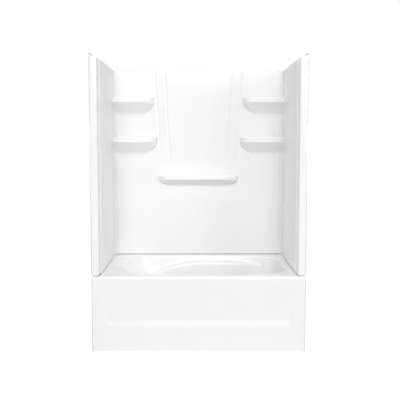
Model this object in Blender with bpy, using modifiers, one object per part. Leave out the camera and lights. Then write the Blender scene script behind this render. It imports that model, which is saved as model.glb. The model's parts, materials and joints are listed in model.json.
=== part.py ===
"""Tub and shower unit: a bathtub with an apron, three wall panels, five shelves, seals and supports.

Metres, +Z up. X runs along the tub, its open front faces -Y. The origin is on the floor under its middle.
"""

import math

import bmesh
import bpy

# Whole unit
WIDTH = 1.524
DEPTH = 0.762
HEIGHT = 2.115
GAP = 0.0003  # left between touching pieces
OVERRUN = 0.012  # how far a cutter runs past what it cuts

# Bathtub shell
TUB_HEIGHT = 0.546
TUB_SHEET = 0.006
NOSE_RADIUS = 0.022
UPSTAND_HEIGHT = 0.025
UPSTAND_FILLET = 0.006
UPSTAND_SETBACK = 0.045  # from the apron's face to where the upstand starts

# Apron
APRON_LIFT = 0.008  # the apron's lower edge is this far off the floor between its feet
APRON_FOOT_WIDTH = 0.024
APRON_FOOT_RAMP = 0.004
APRON_RETURN = 0.026
PLINTH_TOP = 0.184
LEDGE_TOP = 0.224
PANEL_FADE_DROP = 0.066  # from the deck to where the sunk panel comes level with the apron's face
PANEL_SINK = 0.015
PANEL_END_LOW = 0.090  # from the unit's end to the sunk panel
PANEL_END_HIGH = 0.060
PANEL_CHAMFER_LOW = 0.029
PANEL_CHAMFER_HIGH = 0.018
APRON_ROW_SHARES = (0.33, 0.66)  # rows between the ledge and where the panel fades
MIDDLE_COLUMNS = 15

# Basin
LEFT_DECK = 0.129  # from the unit's end to the basin's edge
RIGHT_DECK = 0.101
FRONT_RIM = 0.042
BACK_DECK = 0.075
LEFT_SQUARENESS = 3.1  # exponent of the superellipse that the basin's plan follows
RIGHT_SQUARENESS = 4.2
CORNER_CROWDING = 0.6  # 0 spaces a side's points evenly, 1 crowds them most towards its corners
RIM_RADIUS = 0.018
FLOOR_FILLET = 0.055
FLOOR_HEIGHT = 0.135
FLOOR_FALL = 0.006
BACKREST_RUN = 0.340
DRAIN_END_RUN = 0.105
SIDE_RUN = 0.112
ARMREST_PEAK_INSET = 0.561  # the armrest's top is an arch, highest this far from the basin's right end
ARMREST_DROP = 0.042  # from the deck to the top of the arch
ARMREST_DEEPEST = 0.240
ARMREST_LEFT_FALL = 0.350
ARMREST_LEFT_POWER = 2.1
ARMREST_RIGHT_FALL = 0.170
ARMREST_RIGHT_POWER = 2.0
ARMREST_WIDTH = 0.046
ARMREST_ROOT = 0.024
ARMREST_CREST = 0.018
ARMREST_START = 0.033  # from the basin's left end to where the armrest starts
ARMREST_RISE = 0.150
ARMREST_END = 0.081  # from the basin's right end to where it ends
ARMREST_FALL = 0.240
WALL_SHARES = (0.12, 0.36, 0.60, 0.80)  # places of the rings down the straight part of the basin's wall
LONG_SIDE = 22  # steps round the basin from corner to corner
SHORT_SIDE = 10
RIM_STEPS = 3
FILLET_STEPS = 3

# Drain and overflow
DRAIN_INSET = 0.075  # from the drain's centre to the end of the floor's flat part
DRAIN_RADIUS = 0.026
DRAIN_FLAT_RADIUS = 0.060
OVERFLOW_RADIUS = 0.029
OVERFLOW_DROP = 0.130  # below the rim

# Wall panels
WALL_SHEET = 0.0045
PANEL_TOP = 2.078  # where the faces of the panels end and their shoulders start
SHOULDER_TOP = 2.098
COLUMN_WIDTH = 0.063
COLUMN_RADIUS = 0.008
COLUMN_STEP = 0.004  # the wall's face stands in from the column's by this
COLUMN_STEP_PLACE = 0.080  # from the front
COLUMN_STEP_RUN = 0.004
BACK_OFFSET = 0.027  # from the studs to the back wall's face
COVE_WIDTH = 0.0135
COVE_DEPTH = 0.085
LIP_WIDTH = 0.010
BOTTOM_RETURN = 0.017
SEAL_THICKNESS = 0.003
SEAL_INSET = 0.0025  # seals stay this far behind the faces
BASE_SEAL_INSET = 0.0055
TONGUE_WIDTH = 0.023
TONGUE_SLOPE = 0.001  # the back wall steps back to its tongues over this width
TOP_EDGE_RADIUS = 0.005
TOP_LEDGE = 0.010  # how far back the flat top edge of the back wall reaches
COVE_STEPS = 5
COLUMN_STEPS = 3

# Tapered flutes of the back wall
RELIEF = 0.004
FLUTE_TOP_OUTER = 0.366  # half widths
FLUTE_TOP_INNER = 0.281
FLUTE_LOW_OUTER = 0.290
FLUTE_LOW_INNER = 0.218
FLUTE_FADE = 0.220
FLUTE_CURVE_SHARE = 0.70
FLUTE_ROW_SHARES = (0.0, 0.06, 0.13, 0.20, 0.28, 0.42, 0.60, 0.80, 1.0)
FLUTE_PROFILE_SHARES = (
    (-0.10, 0.0),
    (0.0, -0.50),
    (0.10, 0.10),
    (0.88, 0.80),
    (1.0, 0.30),
    (1.12, 1.0),
)  # (place across the flute, height)

# Shelves
SHELF_DEPTH = 0.085
SHELF_LIP = 0.039
SHELF_LIP_EDGE = 0.004
SHELF_GROOVE = 0.0025
SHELF_SWEEP = 0.093  # from the lip's lower edge down to the shelf's foot on the wall
SHELF_FOOT_DEPTH = 0.006
SHELF_TIP_SHRINK = 0.093
SWEEP_POWER = 1.5
SHELF_TIP_SHARE = 0.88  # of the depth at each level, rounds the free end
TRAY_RIM = 0.007
TRAY_SLOPE = 0.002
TRAY_DEPTH = 0.003
UPPER_SHELF_TOP = 1.856
LOWER_SHELF_TOP = 1.531
UPPER_SHELF_TIP = 0.366  # half width left free between the shelves
LOWER_SHELF_TIP = 0.344
SOAP_SHELF_TOP = 1.212
SOAP_SHELF_HALF = 0.328
SOAP_SHELF_LIP = 0.030
SOAP_SHELF_SWEEP = 0.055
SOAP_SHELF_TIP_SHRINK = 0.072
SWEEP_SHARES = (0.25, 0.5, 0.75, 1.0)
TIP_STEPS = 6

# Supports under the basin
BOARD_THICKNESS = 0.012
BOARD_LEFT_INSET = 0.043  # from the floor's left end
BOARD_RIGHT_INSET = 0.156
BOARD_HALF_DEPTH = 0.150
RAIL_WIDTH = 0.045
RAIL_HALF_DEPTH = 0.170
RAIL_INSET = 0.070  # from the board's end to the rail's centre
FOOT_INSET = 0.040  # from the rail's end to the foot's centre
FOOT_PAD_RADIUS = 0.028
FOOT_PAD_HEIGHT = 0.008
FOOT_PAD_EDGE = 0.002
FOOT_COLLAR_RADIUS = 0.014
FOOT_COLLAR_TOP = 0.022
FOOT_STUD_RADIUS = 0.006
FOOT_STUD_TOP = 0.060
FOOT_HOLE_DEPTH = 0.045
STRINGER_WIDTH = 0.019
STRINGER_HEIGHT = 0.042
STRINGER_END_INSET = 0.112
STRINGER_FRONT_INSET = 0.0225
STRINGER_BACK_INSET = 0.020
WOOD_EDGE = 0.002

ROUND_STEPS = 24
SMOOTH_ANGLE = math.radians(38)

# Planes and edges worked out from the sizes above
HALF = WIDTH / 2
FRONT = -DEPTH / 2
BACK = DEPTH / 2
WALL_X = HALF - COLUMN_WIDTH
WALL_Y = BACK - BACK_OFFSET
SEAM_X = WALL_X - COVE_WIDTH - LIP_WIDTH
WALL_BOTTOM = TUB_HEIGHT + SEAL_THICKNESS + 2 * GAP
TONGUE_STEP = WALL_SHEET + SEAL_THICKNESS + 2 * GAP
BASIN_LEFT = -HALF + LEFT_DECK
BASIN_RIGHT = HALF - RIGHT_DECK
BASIN_X = (BASIN_LEFT + BASIN_RIGHT) / 2
BASIN_FRONT = FRONT + FRONT_RIM
BASIN_BACK = BACK - BACK_DECK
BASIN_Y = (BASIN_FRONT + BASIN_BACK) / 2
BASIN_HALF = (BASIN_BACK - BASIN_FRONT) / 2
BASIN_DEPTH = TUB_HEIGHT - FLOOR_HEIGHT
FLOOR_LEFT = BASIN_LEFT + BACKREST_RUN
FLOOR_RIGHT = BASIN_RIGHT - DRAIN_END_RUN
DRAIN_X = FLOOR_RIGHT - DRAIN_INSET
FALL_START = DRAIN_X - DRAIN_FLAT_RADIUS
ARMREST_PEAK_X = BASIN_RIGHT - ARMREST_PEAK_INSET
BOARD_LEFT = FLOOR_LEFT + BOARD_LEFT_INSET
BOARD_RIGHT = FLOOR_RIGHT - BOARD_RIGHT_INSET
PANEL_FADE_HEIGHT = TUB_HEIGHT - PANEL_FADE_DROP
RING = 2 * LONG_SIDE + 2 * SHORT_SIDE

WHITE = (0.90, 0.90, 0.89)


def clear_scene():
    for item in list(bpy.data.objects):
        bpy.data.objects.remove(item)


def make_material(name, colour, roughness, metallic=0.0):
    material = bpy.data.materials.new(name)
    material.use_nodes = True
    shader = material.node_tree.nodes["Principled BSDF"]
    shader.inputs["Base Color"].default_value = (*colour, 1.0)
    shader.inputs["Roughness"].default_value = roughness
    shader.inputs["Metallic"].default_value = metallic
    return material


def make_object(name, mesh, material, collection):
    """Puts a mesh in the scene, smooth but for its sharp edges."""
    item = bpy.data.objects.new(name, mesh)
    collection.objects.link(item)
    if material is not None:
        mesh.materials.append(material)
    mesh.shade_smooth()
    mesh.set_sharp_from_angle(angle=SMOOTH_ANGLE)
    return item


def finish(name, bm, material, collection):
    mesh = bpy.data.meshes.new(name)
    bm.to_mesh(mesh)
    bm.free()
    return make_object(name, mesh, material, collection)


def thicken(item, thickness):
    """Gives an open surface its thickness, behind the side that shows."""
    solid = item.modifiers.new("sheet", "SOLIDIFY")
    solid.thickness = thickness
    solid.offset = -1
    solid.use_even_offset = True


def cut(item, cutter):
    boolean = item.modifiers.new("cut", "BOOLEAN")
    boolean.operation = "DIFFERENCE"
    boolean.solver = "EXACT"
    boolean.object = cutter
    cutter.hide_render = True
    cutter.display_type = "WIRE"


def box(name, low, high, material, collection, edge=0.0):
    """A block between two corners, with its edges rounded off where edge is given."""
    bm = bmesh.new()
    bmesh.ops.create_cube(bm, size=1.0)
    for vert in bm.verts:
        vert.co = [a + (b - a) * (c + 0.5) for a, b, c in zip(low, high, vert.co)]
    item = finish(name, bm, material, collection)
    if edge > 0:
        bevel = item.modifiers.new("edges", "BEVEL")
        bevel.width = edge
        bevel.segments = 1
    return item


def cylinder(name, radius, length, centre, along_x, collection):
    bm = bmesh.new()
    bmesh.ops.create_cone(
        bm, cap_ends=True, segments=ROUND_STEPS, radius1=radius, radius2=radius, depth=length
    )
    item = finish(name, bm, None, collection)
    item.location = centre
    if along_x:
        item.rotation_euler = (0.0, math.pi / 2, 0.0)
    return item


def mix(a, b, share):
    return a + (b - a) * share


def smooth_step(value, start, end):
    share = min(max((value - start) / (end - start), 0.0), 1.0)
    return share * share * (3 - 2 * share)


def make_verts(bm, rows):
    return [[bm.verts.new(point) for point in row] for row in rows]


def bridge(bm, low, high, closed=False):
    """Quads from one row of vertices to the next."""
    count = len(low)
    for i in range(count if closed else count - 1):
        j = (i + 1) % count
        bm.faces.new((low[i], low[j], high[j], high[i]))


# Bathtub


def wall_angle(run, depth):
    """Tilt from upright of a basin wall whose two round ends and straight part span run and depth."""
    rounds = RIM_RADIUS + FLOOR_FILLET
    low, high = 0.0, math.radians(80)
    for _ in range(60):
        tilt = (low + high) / 2
        straight = (depth - rounds * (1 - math.sin(tilt))) / math.cos(tilt)
        reach = rounds * math.cos(tilt) + straight * math.sin(tilt)
        if reach < run:
            low = tilt
        else:
            high = tilt
    return (low + high) / 2


def wall_profile(run, depth):
    """Points (inset from the rim, depth below the deck) down a plain basin wall."""
    tilt = wall_angle(run, depth)
    turn = math.pi / 2 - tilt
    rim = [
        (RIM_RADIUS * math.sin(turn * k / RIM_STEPS), RIM_RADIUS * (1 - math.cos(turn * k / RIM_STEPS)))
        for k in range(RIM_STEPS + 1)
    ]
    fillet = [
        (
            run - FLOOR_FILLET * math.sin(turn * k / FILLET_STEPS),
            depth - FLOOR_FILLET * (1 - math.cos(turn * k / FILLET_STEPS)),
        )
        for k in range(FILLET_STEPS, -1, -1)
    ]
    top, foot = rim[-1], fillet[0]
    straight = [(mix(top[0], foot[0], share), mix(top[1], foot[1], share)) for share in WALL_SHARES]
    return rim + straight + fillet


def armrest_drop(x):
    away = abs(x - ARMREST_PEAK_X)
    fall = ARMREST_RIGHT_FALL * away**ARMREST_RIGHT_POWER
    if x < ARMREST_PEAK_X:
        fall = ARMREST_LEFT_FALL * away**ARMREST_LEFT_POWER
    return min(ARMREST_DROP + fall, ARMREST_DEEPEST)


def armrest_share(x):
    start = BASIN_LEFT + ARMREST_START
    end = BASIN_RIGHT - ARMREST_END
    rise = smooth_step(x, start, start + ARMREST_RISE)
    return rise * (1 - smooth_step(x, end - ARMREST_FALL, end))


def armrest_profile(plain, drop):
    """The same number of points as a plain wall's, down a wall that carries an armrest."""
    top, foot = plain[RIM_STEPS], plain[-FILLET_STEPS - 1]
    root = top[0] + ARMREST_ROOT / 2
    crest = root + ARMREST_WIDTH
    edge = crest + ARMREST_CREST
    ledge = [
        (root, drop - ARMREST_ROOT),
        (root + ARMREST_ROOT, drop),
        (crest, drop),
        (edge, drop + ARMREST_CREST),
    ]
    points = plain[: RIM_STEPS + 1]
    for inset, down in ledge:
        share = (down - top[1]) / (foot[1] - top[1])
        points.append((max(inset, mix(top[0], foot[0], share)), down))
    return points + [(max(inset, edge), down) for inset, down in plain[-FILLET_STEPS - 1 :]]


def crowded(step, steps):
    """Place along a side from -1 to 1, with the points closer together towards both ends."""
    even = 2 * step / steps - 1
    return mix(even, math.sin(math.pi / 2 * even), CORNER_CROWDING)


def bow(share, power):
    """Height of a superellipse of size 1 over a place from -1 to 1."""
    return (1 - abs(share) ** power) ** (1 / power)


def ring_places():
    """Places round the basin, from the front left corner round by the front: shares of its half length
    and of its half depth, and how far round towards an end each lies, from 0 to 1."""
    left_corner = (BASIN_LEFT - BASIN_X) * 0.5 ** (1 / LEFT_SQUARENESS)
    right_corner = (BASIN_RIGHT - BASIN_X) * 0.5 ** (1 / RIGHT_SQUARENESS)
    side = []
    for k in range(LONG_SIDE + 1):
        x = mix(left_corner, right_corner, (crowded(k, LONG_SIDE) + 1) / 2)
        along = x / (BASIN_X - BASIN_LEFT) if x < 0 else x / (BASIN_RIGHT - BASIN_X)
        power = LEFT_SQUARENESS if x < 0 else RIGHT_SQUARENESS
        side.append((along, bow(along, power), abs(along) ** power))
    places = [(along, -across, share) for along, across, share in side[:-1]]
    for k in range(SHORT_SIDE):
        across = crowded(k, SHORT_SIDE) * 0.5 ** (1 / RIGHT_SQUARENESS)
        places.append((bow(across, RIGHT_SQUARENESS), across, 1 - abs(across) ** RIGHT_SQUARENESS))
    places += reversed(side[1:])
    for k in range(SHORT_SIDE):
        across = -crowded(k, SHORT_SIDE) * 0.5 ** (1 / LEFT_SQUARENESS)
        places.append((-bow(across, LEFT_SQUARENESS), across, 1 - abs(across) ** LEFT_SQUARENESS))
    return places


def floor_drop(x):
    """How far the floor is above its low part by the drain, at most FLOOR_FALL."""
    return FLOOR_FALL * max(FALL_START - x, 0.0) / (FALL_START - FLOOR_LEFT)


def matched(wall, profile):
    """A plain wall's own points at its two rounds, and between them points at the profile's depths."""
    top, foot = wall[RIM_STEPS], wall[-FILLET_STEPS - 1]
    points = []
    for k, (_, down) in enumerate(profile):
        if RIM_STEPS < k < len(wall) - FILLET_STEPS - 1:
            points.append((mix(top[0], foot[0], (down - top[1]) / (foot[1] - top[1])), down))
        else:
            points.append(wall[k])
    return points


def basin_rings():
    left_wall = wall_profile(BACKREST_RUN, BASIN_DEPTH)
    right_wall = wall_profile(DRAIN_END_RUN, BASIN_DEPTH)
    side_wall = wall_profile(SIDE_RUN, BASIN_DEPTH)
    columns = []
    for along, across, towards_end in ring_places():
        end_wall = left_wall if along < 0 else right_wall
        reach = BASIN_X - BASIN_LEFT if along < 0 else BASIN_RIGHT - BASIN_X
        rim_x = BASIN_X + along * reach
        profile = armrest_profile(side_wall, armrest_drop(rim_x))
        arm = armrest_share(rim_x) * (1 - towards_end)
        column = []
        for k, (side_inset, side_down) in enumerate(matched(side_wall, profile)):
            end_inset, end_down = matched(end_wall, profile)[k]
            x = BASIN_X + along * (reach - end_inset)
            half_depth = BASIN_HALF - mix(side_inset, profile[k][0], arm)
            down = mix(side_down, end_down, towards_end)
            rise = floor_drop(x) * down / BASIN_DEPTH
            column.append((x, BASIN_Y + across * half_depth, TUB_HEIGHT - down + rise))
        columns.append(column)
    return [list(ring) for ring in zip(*columns)]


def apron_columns(z):
    """X of the apron's columns at a height: edge, foot, the sunk panel's chamfer, and evenly between."""
    share = (z - LEDGE_TOP) / (PANEL_FADE_HEIGHT - LEDGE_TOP)
    share = min(max(share, 0.0), 1.0)
    outer = HALF - mix(PANEL_END_LOW, PANEL_END_HIGH, share)
    inner = outer - mix(PANEL_CHAMFER_LOW, PANEL_CHAMFER_HIGH, share)
    if z <= APRON_LIFT:
        outer = HALF - APRON_FOOT_WIDTH - APRON_FOOT_RAMP
    left = [-HALF, -HALF + APRON_FOOT_WIDTH, -outer, -inner]
    steps = MIDDLE_COLUMNS + 1
    middle = [mix(-inner, inner, k / steps) for k in range(1, steps)]
    return left + middle + [-x for x in reversed(left)]


def apron_rows():
    """Rows of the apron from its inner lower edge over its face and round the nose, left to right."""
    count = len(apron_columns(PLINTH_TOP))
    sunk = range(3, count - 3)
    feet = (0, 1, count - 2, count - 1)

    def row(z, depth, sink=0.0):
        xs = apron_columns(z)
        low = z if z > APRON_LIFT else APRON_LIFT
        return [
            (x, FRONT + depth + (sink if i in sunk else 0.0), 0.0 if z <= APRON_LIFT and i in feet else low)
            for i, x in enumerate(xs)
        ]

    rows = [row(0.0, APRON_RETURN), row(0.0, 0.0), row(PLINTH_TOP, 0.0), row(LEDGE_TOP, 0.0, PANEL_SINK)]
    for share in APRON_ROW_SHARES:
        rows.append(row(mix(LEDGE_TOP, PANEL_FADE_HEIGHT, share), 0.0, PANEL_SINK * (1 - share)))
    rows.append(row(PANEL_FADE_HEIGHT, 0.0))
    edge_inset = TUB_SHEET + UPSTAND_FILLET
    for k in range(RIM_STEPS):
        turn = math.pi / 2 * k / RIM_STEPS
        inset = 1 - math.cos(turn)
        shrink = (HALF - edge_inset * inset) / HALF
        straight = row(TUB_HEIGHT - NOSE_RADIUS, NOSE_RADIUS * inset)
        rows.append([(x * shrink, y, z + NOSE_RADIUS * math.sin(turn)) for x, y, z in straight])
    return rows


def deck_loop(ring):
    """The deck's outer edge: its front follows the apron, and its other sides follow the basin's edge."""
    edge_x = HALF - TUB_SHEET - UPSTAND_FILLET
    edge_y = BACK - TUB_SHEET - UPSTAND_FILLET
    nose_y = FRONT + NOSE_RADIUS
    shrink = edge_x / HALF
    loop = [(x * shrink, nose_y, TUB_HEIGHT) for x in apron_columns(TUB_HEIGHT)[:-1]]
    corners = (LONG_SIDE, LONG_SIDE + SHORT_SIDE, 2 * LONG_SIDE + SHORT_SIDE, RING)
    for i in range(corners[0], corners[1]):
        share = (ring[i][1] - ring[corners[0]][1]) / (ring[corners[1]][1] - ring[corners[0]][1])
        loop.append((edge_x, mix(nose_y, edge_y, share), TUB_HEIGHT))
    for i in range(corners[1], corners[2]):
        share = (ring[i][0] - ring[corners[1]][0]) / (ring[corners[2]][0] - ring[corners[1]][0])
        loop.append((mix(edge_x, -edge_x, share), edge_y, TUB_HEIGHT))
    for i in range(corners[2], corners[3]):
        share = (ring[i][1] - ring[corners[2]][1]) / (ring[0][1] - ring[corners[2]][1])
        loop.append((-edge_x, mix(edge_y, nose_y, share), TUB_HEIGHT))
    return loop


def upstand_rows(loop):
    """The upstand's rows, top first, along the right side, the back and the left side."""
    chain = [loop[i % RING] for i in range(LONG_SIDE, RING + 1)]
    start_y = FRONT + UPSTAND_SETBACK
    edge_x = HALF - TUB_SHEET
    edge_y = BACK - TUB_SHEET
    placed = []
    for x, y, _ in chain:
        new_x = math.copysign(edge_x, x) if abs(x) > edge_x - UPSTAND_FILLET - GAP else x
        new_y = edge_y if y > edge_y - UPSTAND_FILLET - GAP else max(y, start_y)
        placed.append((new_x, new_y))
    heights = (TUB_HEIGHT + UPSTAND_HEIGHT, TUB_HEIGHT + UPSTAND_FILLET)
    return [[(x, y, z) for x, y in placed] for z in heights]


def add_floor(bm, ring):
    """Closes the basin with strips from its front to its back, and a flat piece at each end."""
    front = ring[: LONG_SIDE + 1]
    back = list(reversed(ring[LONG_SIDE + SHORT_SIDE : 2 * LONG_SIDE + SHORT_SIDE + 1]))
    bridge(bm, front, back)
    bm.faces.new(ring[LONG_SIDE : LONG_SIDE + SHORT_SIDE + 1])
    bm.faces.new(ring[2 * LONG_SIDE + SHORT_SIDE :] + ring[:1])


def make_bathtub(material, collection, cutters):
    bm = bmesh.new()
    rings = basin_rings()
    basin = make_verts(bm, rings)
    deck = make_verts(bm, [deck_loop(rings[0])])[0]
    for low, high in zip([deck] + basin, basin):
        bridge(bm, low, high, closed=True)
    add_floor(bm, basin[-1])
    apron = make_verts(bm, apron_rows())
    for low, high in zip(apron, apron[1:] + [deck[: LONG_SIDE + 1]]):
        bridge(bm, low, high)
    upstand = make_verts(bm, upstand_rows(deck_loop(rings[0])))
    chain = [deck[i % RING] for i in range(LONG_SIDE, RING + 1)]
    for low, high in zip(upstand, upstand[1:] + [chain]):
        bridge(bm, low, high)
    tub = finish("bathtub", bm, material, collection)
    thicken(tub, TUB_SHEET)
    length = 2 * (TUB_SHEET + OVERRUN)
    drain = cylinder("drain_cutter", DRAIN_RADIUS, length, (DRAIN_X, BASIN_Y, FLOOR_HEIGHT), False, cutters)
    cut(tub, drain)
    tilt = wall_angle(DRAIN_END_RUN, BASIN_DEPTH)
    overflow_x = BASIN_RIGHT - RIM_RADIUS - (OVERFLOW_DROP - RIM_RADIUS) * math.tan(tilt)
    centre = (overflow_x, BASIN_Y, TUB_HEIGHT - OVERFLOW_DROP)
    cut(tub, cylinder("overflow_cutter", OVERFLOW_RADIUS, 2 * length, centre, True, cutters))


# Wall panels


def cove_points():
    """Plan points of the right end wall's back corner, from its face to its lip, as (X, Y)."""
    points = []
    for k in range(COVE_STEPS + 1):
        turn = math.pi / 2 * k / COVE_STEPS
        x = WALL_X - COVE_WIDTH * (1 - math.cos(turn))
        y = WALL_Y - COVE_DEPTH * (1 - math.sin(turn))
        points.append((x, y))
    points.append((SEAM_X, WALL_Y))
    return points


def side_face_x(y):
    """X of the right end wall's face at a given Y, on the flats between the cove's points."""
    points = cove_points()[:-1]
    for (x0, y0), (x1, y1) in zip(points, points[1:]):
        if y0 <= y <= y1:
            return mix(x0, x1, (y - y0) / (y1 - y0))
    return WALL_X if y < points[0][1] else points[-1][0]


def make_end_wall(name, side, material, collection):
    """An end wall: side is 1 at the right and -1 at the left. Its sheet runs from the lip in the back
    corner to the column at the front, and up over the shoulder to the nailing flange."""
    bm = bmesh.new()
    flange_x = HALF - WALL_SHEET
    shoulder = (SHOULDER_TOP - PANEL_TOP) / (flange_x - WALL_X)
    cove = list(reversed(cove_points()))
    column_x = WALL_X + COLUMN_STEP
    step_y = FRONT + COLUMN_STEP_PLACE
    step = [(WALL_X, step_y + COLUMN_STEP_RUN), (column_x, step_y)]
    round_edge = []
    for k in range(COLUMN_STEPS + 1):
        turn = math.pi / 2 * k / COLUMN_STEPS
        x = column_x + COLUMN_RADIUS * (1 - math.cos(turn))
        y = FRONT + COLUMN_RADIUS * (1 - math.sin(turn))
        round_edge.append((x, y))
    plan = cove + step + round_edge

    def top_of(x):
        return PANEL_TOP + shoulder * max(x - WALL_X, 0.0)

    lower = [bm.verts.new((side * x, y, WALL_BOTTOM)) for x, y in plan]
    upper = [bm.verts.new((side * x, y, top_of(x))) for x, y in plan]
    bridge(bm, lower, upper)
    corner = bm.verts.new((side * WALL_X, WALL_Y, PANEL_TOP))
    last_cove = len(cove) - 1
    bm.faces.new(upper[2 : last_cove + 1] + [corner])
    inner = [corner] + upper[last_cove:]
    spans = [WALL_Y] + [y for _, y in plan[last_cove:]]
    edge = [bm.verts.new((side * flange_x, y, SHOULDER_TOP)) for y in spans]
    flange = [bm.verts.new((side * flange_x, y, HEIGHT)) for y in spans[:-COLUMN_STEPS]]
    bridge(bm, inner, edge)
    bridge(bm, edge[:-COLUMN_STEPS], flange)
    outer_low = bm.verts.new((side * HALF, FRONT, WALL_BOTTOM))
    outer_high = bm.verts.new((side * HALF, FRONT, PANEL_TOP))
    bm.faces.new((lower[-1], outer_low, outer_high, edge[-1], upper[-1]))
    straight = lower[last_cove:-COLUMN_STEPS]
    foot = [bm.verts.new(v.co) for v in straight]
    for vert in foot:
        vert.co.x += side * BOTTOM_RETURN
    bridge(bm, foot, straight)
    if side < 0:
        bmesh.ops.reverse_faces(bm, faces=bm.faces)
    thicken(finish(name, bm, material, collection), WALL_SHEET)


def flute_edge(z, low, high):
    """Half width of a flute's edge at a height: it widens quickly at first and then slowly."""
    start = SOAP_SHELF_TOP
    share = max((z - start) / (PANEL_TOP - start), 0.0)
    return mix(low, high, share**FLUTE_CURVE_SHARE)


def back_wall_row(z, back, relief):
    """Points of a row of the back wall, left to right. back is its distance behind the face, and relief
    the share of the flutes' relief that it has. The two outer points at each end are the tongues'."""
    outer = flute_edge(z, FLUTE_LOW_OUTER, FLUTE_TOP_OUTER)
    inner = flute_edge(z, FLUTE_LOW_INNER, FLUTE_TOP_INNER)
    panel_edge = SEAM_X - GAP
    left = [
        (-panel_edge - TONGUE_WIDTH, TONGUE_STEP),
        (-panel_edge, TONGUE_STEP),
        (-panel_edge + TONGUE_SLOPE, back),
    ]
    for share, height in FLUTE_PROFILE_SHARES:
        left.append((-mix(outer, inner, share), back - RELIEF * relief * height))
    columns = left + [(-x, y) for x, y in reversed(left)]
    return [(x, WALL_Y + y, z) for x, y in columns]


def make_back_wall(material, collection):
    bm = bmesh.new()
    start = SOAP_SHELF_TOP + GAP
    end = PANEL_TOP - TOP_EDGE_RADIUS
    shelf_foot = SOAP_SHELF_TOP - SOAP_SHELF_LIP - SOAP_SHELF_SWEEP
    rows = [back_wall_row(z, 0.0, 0.0) for z in (WALL_BOTTOM, shelf_foot)]
    for share in FLUTE_ROW_SHARES:
        z = mix(start, end, share)
        rows.append(back_wall_row(z, 0.0, smooth_step(z, start, start + FLUTE_FADE)))
    rows.append(back_wall_row(PANEL_TOP, TOP_EDGE_RADIUS, 1.0))
    face = make_verts(bm, rows)
    for low, high in zip(face, face[1:]):
        bridge(bm, low, high)
    between_tongues = slice(2, -2)
    bottom_return = back_wall_row(WALL_BOTTOM, BOTTOM_RETURN, 0.0)[between_tongues]
    bridge(bm, make_verts(bm, [bottom_return])[0], face[0][between_tongues])
    above = face[-1][between_tongues]
    flange = BACK_OFFSET - WALL_SHEET
    for z, back in ((PANEL_TOP, TOP_LEDGE), (SHOULDER_TOP, flange), (HEIGHT, flange)):
        row = make_verts(bm, [back_wall_row(z, back, 0.0)[between_tongues]])[0]
        bridge(bm, above, row)
        above = row
    thicken(finish("back_wall_panel", bm, material, collection), WALL_SHEET)


# Shelves


def shelf_levels(top, lip, sweep):
    """Levels of a shelf from its foot up: (height, share of the full outline, inset of the outline)."""
    low = top - lip
    levels = []
    for share in reversed(SWEEP_SHARES):
        levels.append((low - sweep * share, 1 - share**SWEEP_POWER, SHELF_LIP_EDGE))
    middle = low + lip / 2
    levels.append((low, 1.0, SHELF_LIP_EDGE))
    levels.append((low + SHELF_LIP_EDGE, 1.0, 0.0))
    levels.append((middle - SHELF_LIP_EDGE, 1.0, 0.0))
    levels.append((middle, 1.0, SHELF_GROOVE))
    levels.append((middle + SHELF_LIP_EDGE, 1.0, 0.0))
    levels.append((top - SHELF_LIP_EDGE, 1.0, 0.0))
    levels.append((top, 1.0, SHELF_LIP_EDGE))
    return levels


def tip_points(tip, front, back, inset):
    """The rounded free end of a shelf in plan, from its front edge to the wall."""
    depth = back - front
    radius = depth * SHELF_TIP_SHARE
    points = []
    for k in range(TIP_STEPS + 1):
        turn = math.pi / 2 * k / TIP_STEPS
        x = tip + inset + radius * (1 - math.sin(turn))
        y = front + radius * (1 - math.cos(turn))
        points.append((x, y))
    points.append((tip + inset, back))
    return points


def corner_outline(tip, share, inset, rim=0.0):
    """Plan of a right corner shelf at one level, anticlockwise from above. rim draws all of it in."""
    back = WALL_Y - GAP - rim
    depth = SHELF_FOOT_DEPTH + (SHELF_DEPTH - SHELF_FOOT_DEPTH) * share
    front = WALL_Y - depth + inset + rim
    points = []
    for k in range(COVE_STEPS + 1):
        y = mix(front, back, math.sin(math.pi / 2 * k / COVE_STEPS))
        points.append((side_face_x(y) - GAP - rim, y))
    free = tip_points(tip + SHELF_TIP_SHRINK * (1 - share), front, back, inset + rim)
    return points + list(reversed(free))


def soap_outline(tip, share, inset, rim=0.0):
    """Plan of the soap shelf at one level, anticlockwise from above."""
    back = WALL_Y - GAP - rim
    depth = SHELF_FOOT_DEPTH + (SHELF_DEPTH - SHELF_FOOT_DEPTH) * share
    front = WALL_Y - depth + inset + rim
    free = tip_points(-tip + SOAP_SHELF_TIP_SHRINK * (1 - share), front, back, inset + rim)
    return [(-x, y) for x, y in free] + list(reversed(free))


def make_shelf(name, outline, sizes, side, material, collection):
    """A shelf: its foot, its swept underside, its grooved lip, and the shallow tray in its top. sizes are
    its tip's distance from the middle, its top, its lip's height and its sweep's height."""
    tip, top, lip, sweep = sizes
    bm = bmesh.new()
    loops = []
    for z, share, inset in shelf_levels(top, lip, sweep):
        loops.append([(x, y, z) for x, y in outline(tip, share, inset)])
    rim = TRAY_RIM
    loops.append([(x, y, top) for x, y in outline(tip, 1.0, SHELF_LIP_EDGE, rim)])
    tray = top - TRAY_DEPTH
    loops.append([(x, y, tray) for x, y in outline(tip, 1.0, SHELF_LIP_EDGE, rim + TRAY_SLOPE)])
    loops = [[(side * x, y, z) for x, y, z in loop] for loop in loops]
    verts = make_verts(bm, loops)
    for low, high in zip(verts, verts[1:]):
        bridge(bm, low, high, closed=True)
    bm.faces.new(list(reversed(verts[0])))
    bm.faces.new(verts[-1])
    if side < 0:
        bmesh.ops.reverse_faces(bm, faces=bm.faces)
    finish(name, bm, material, collection)


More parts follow.
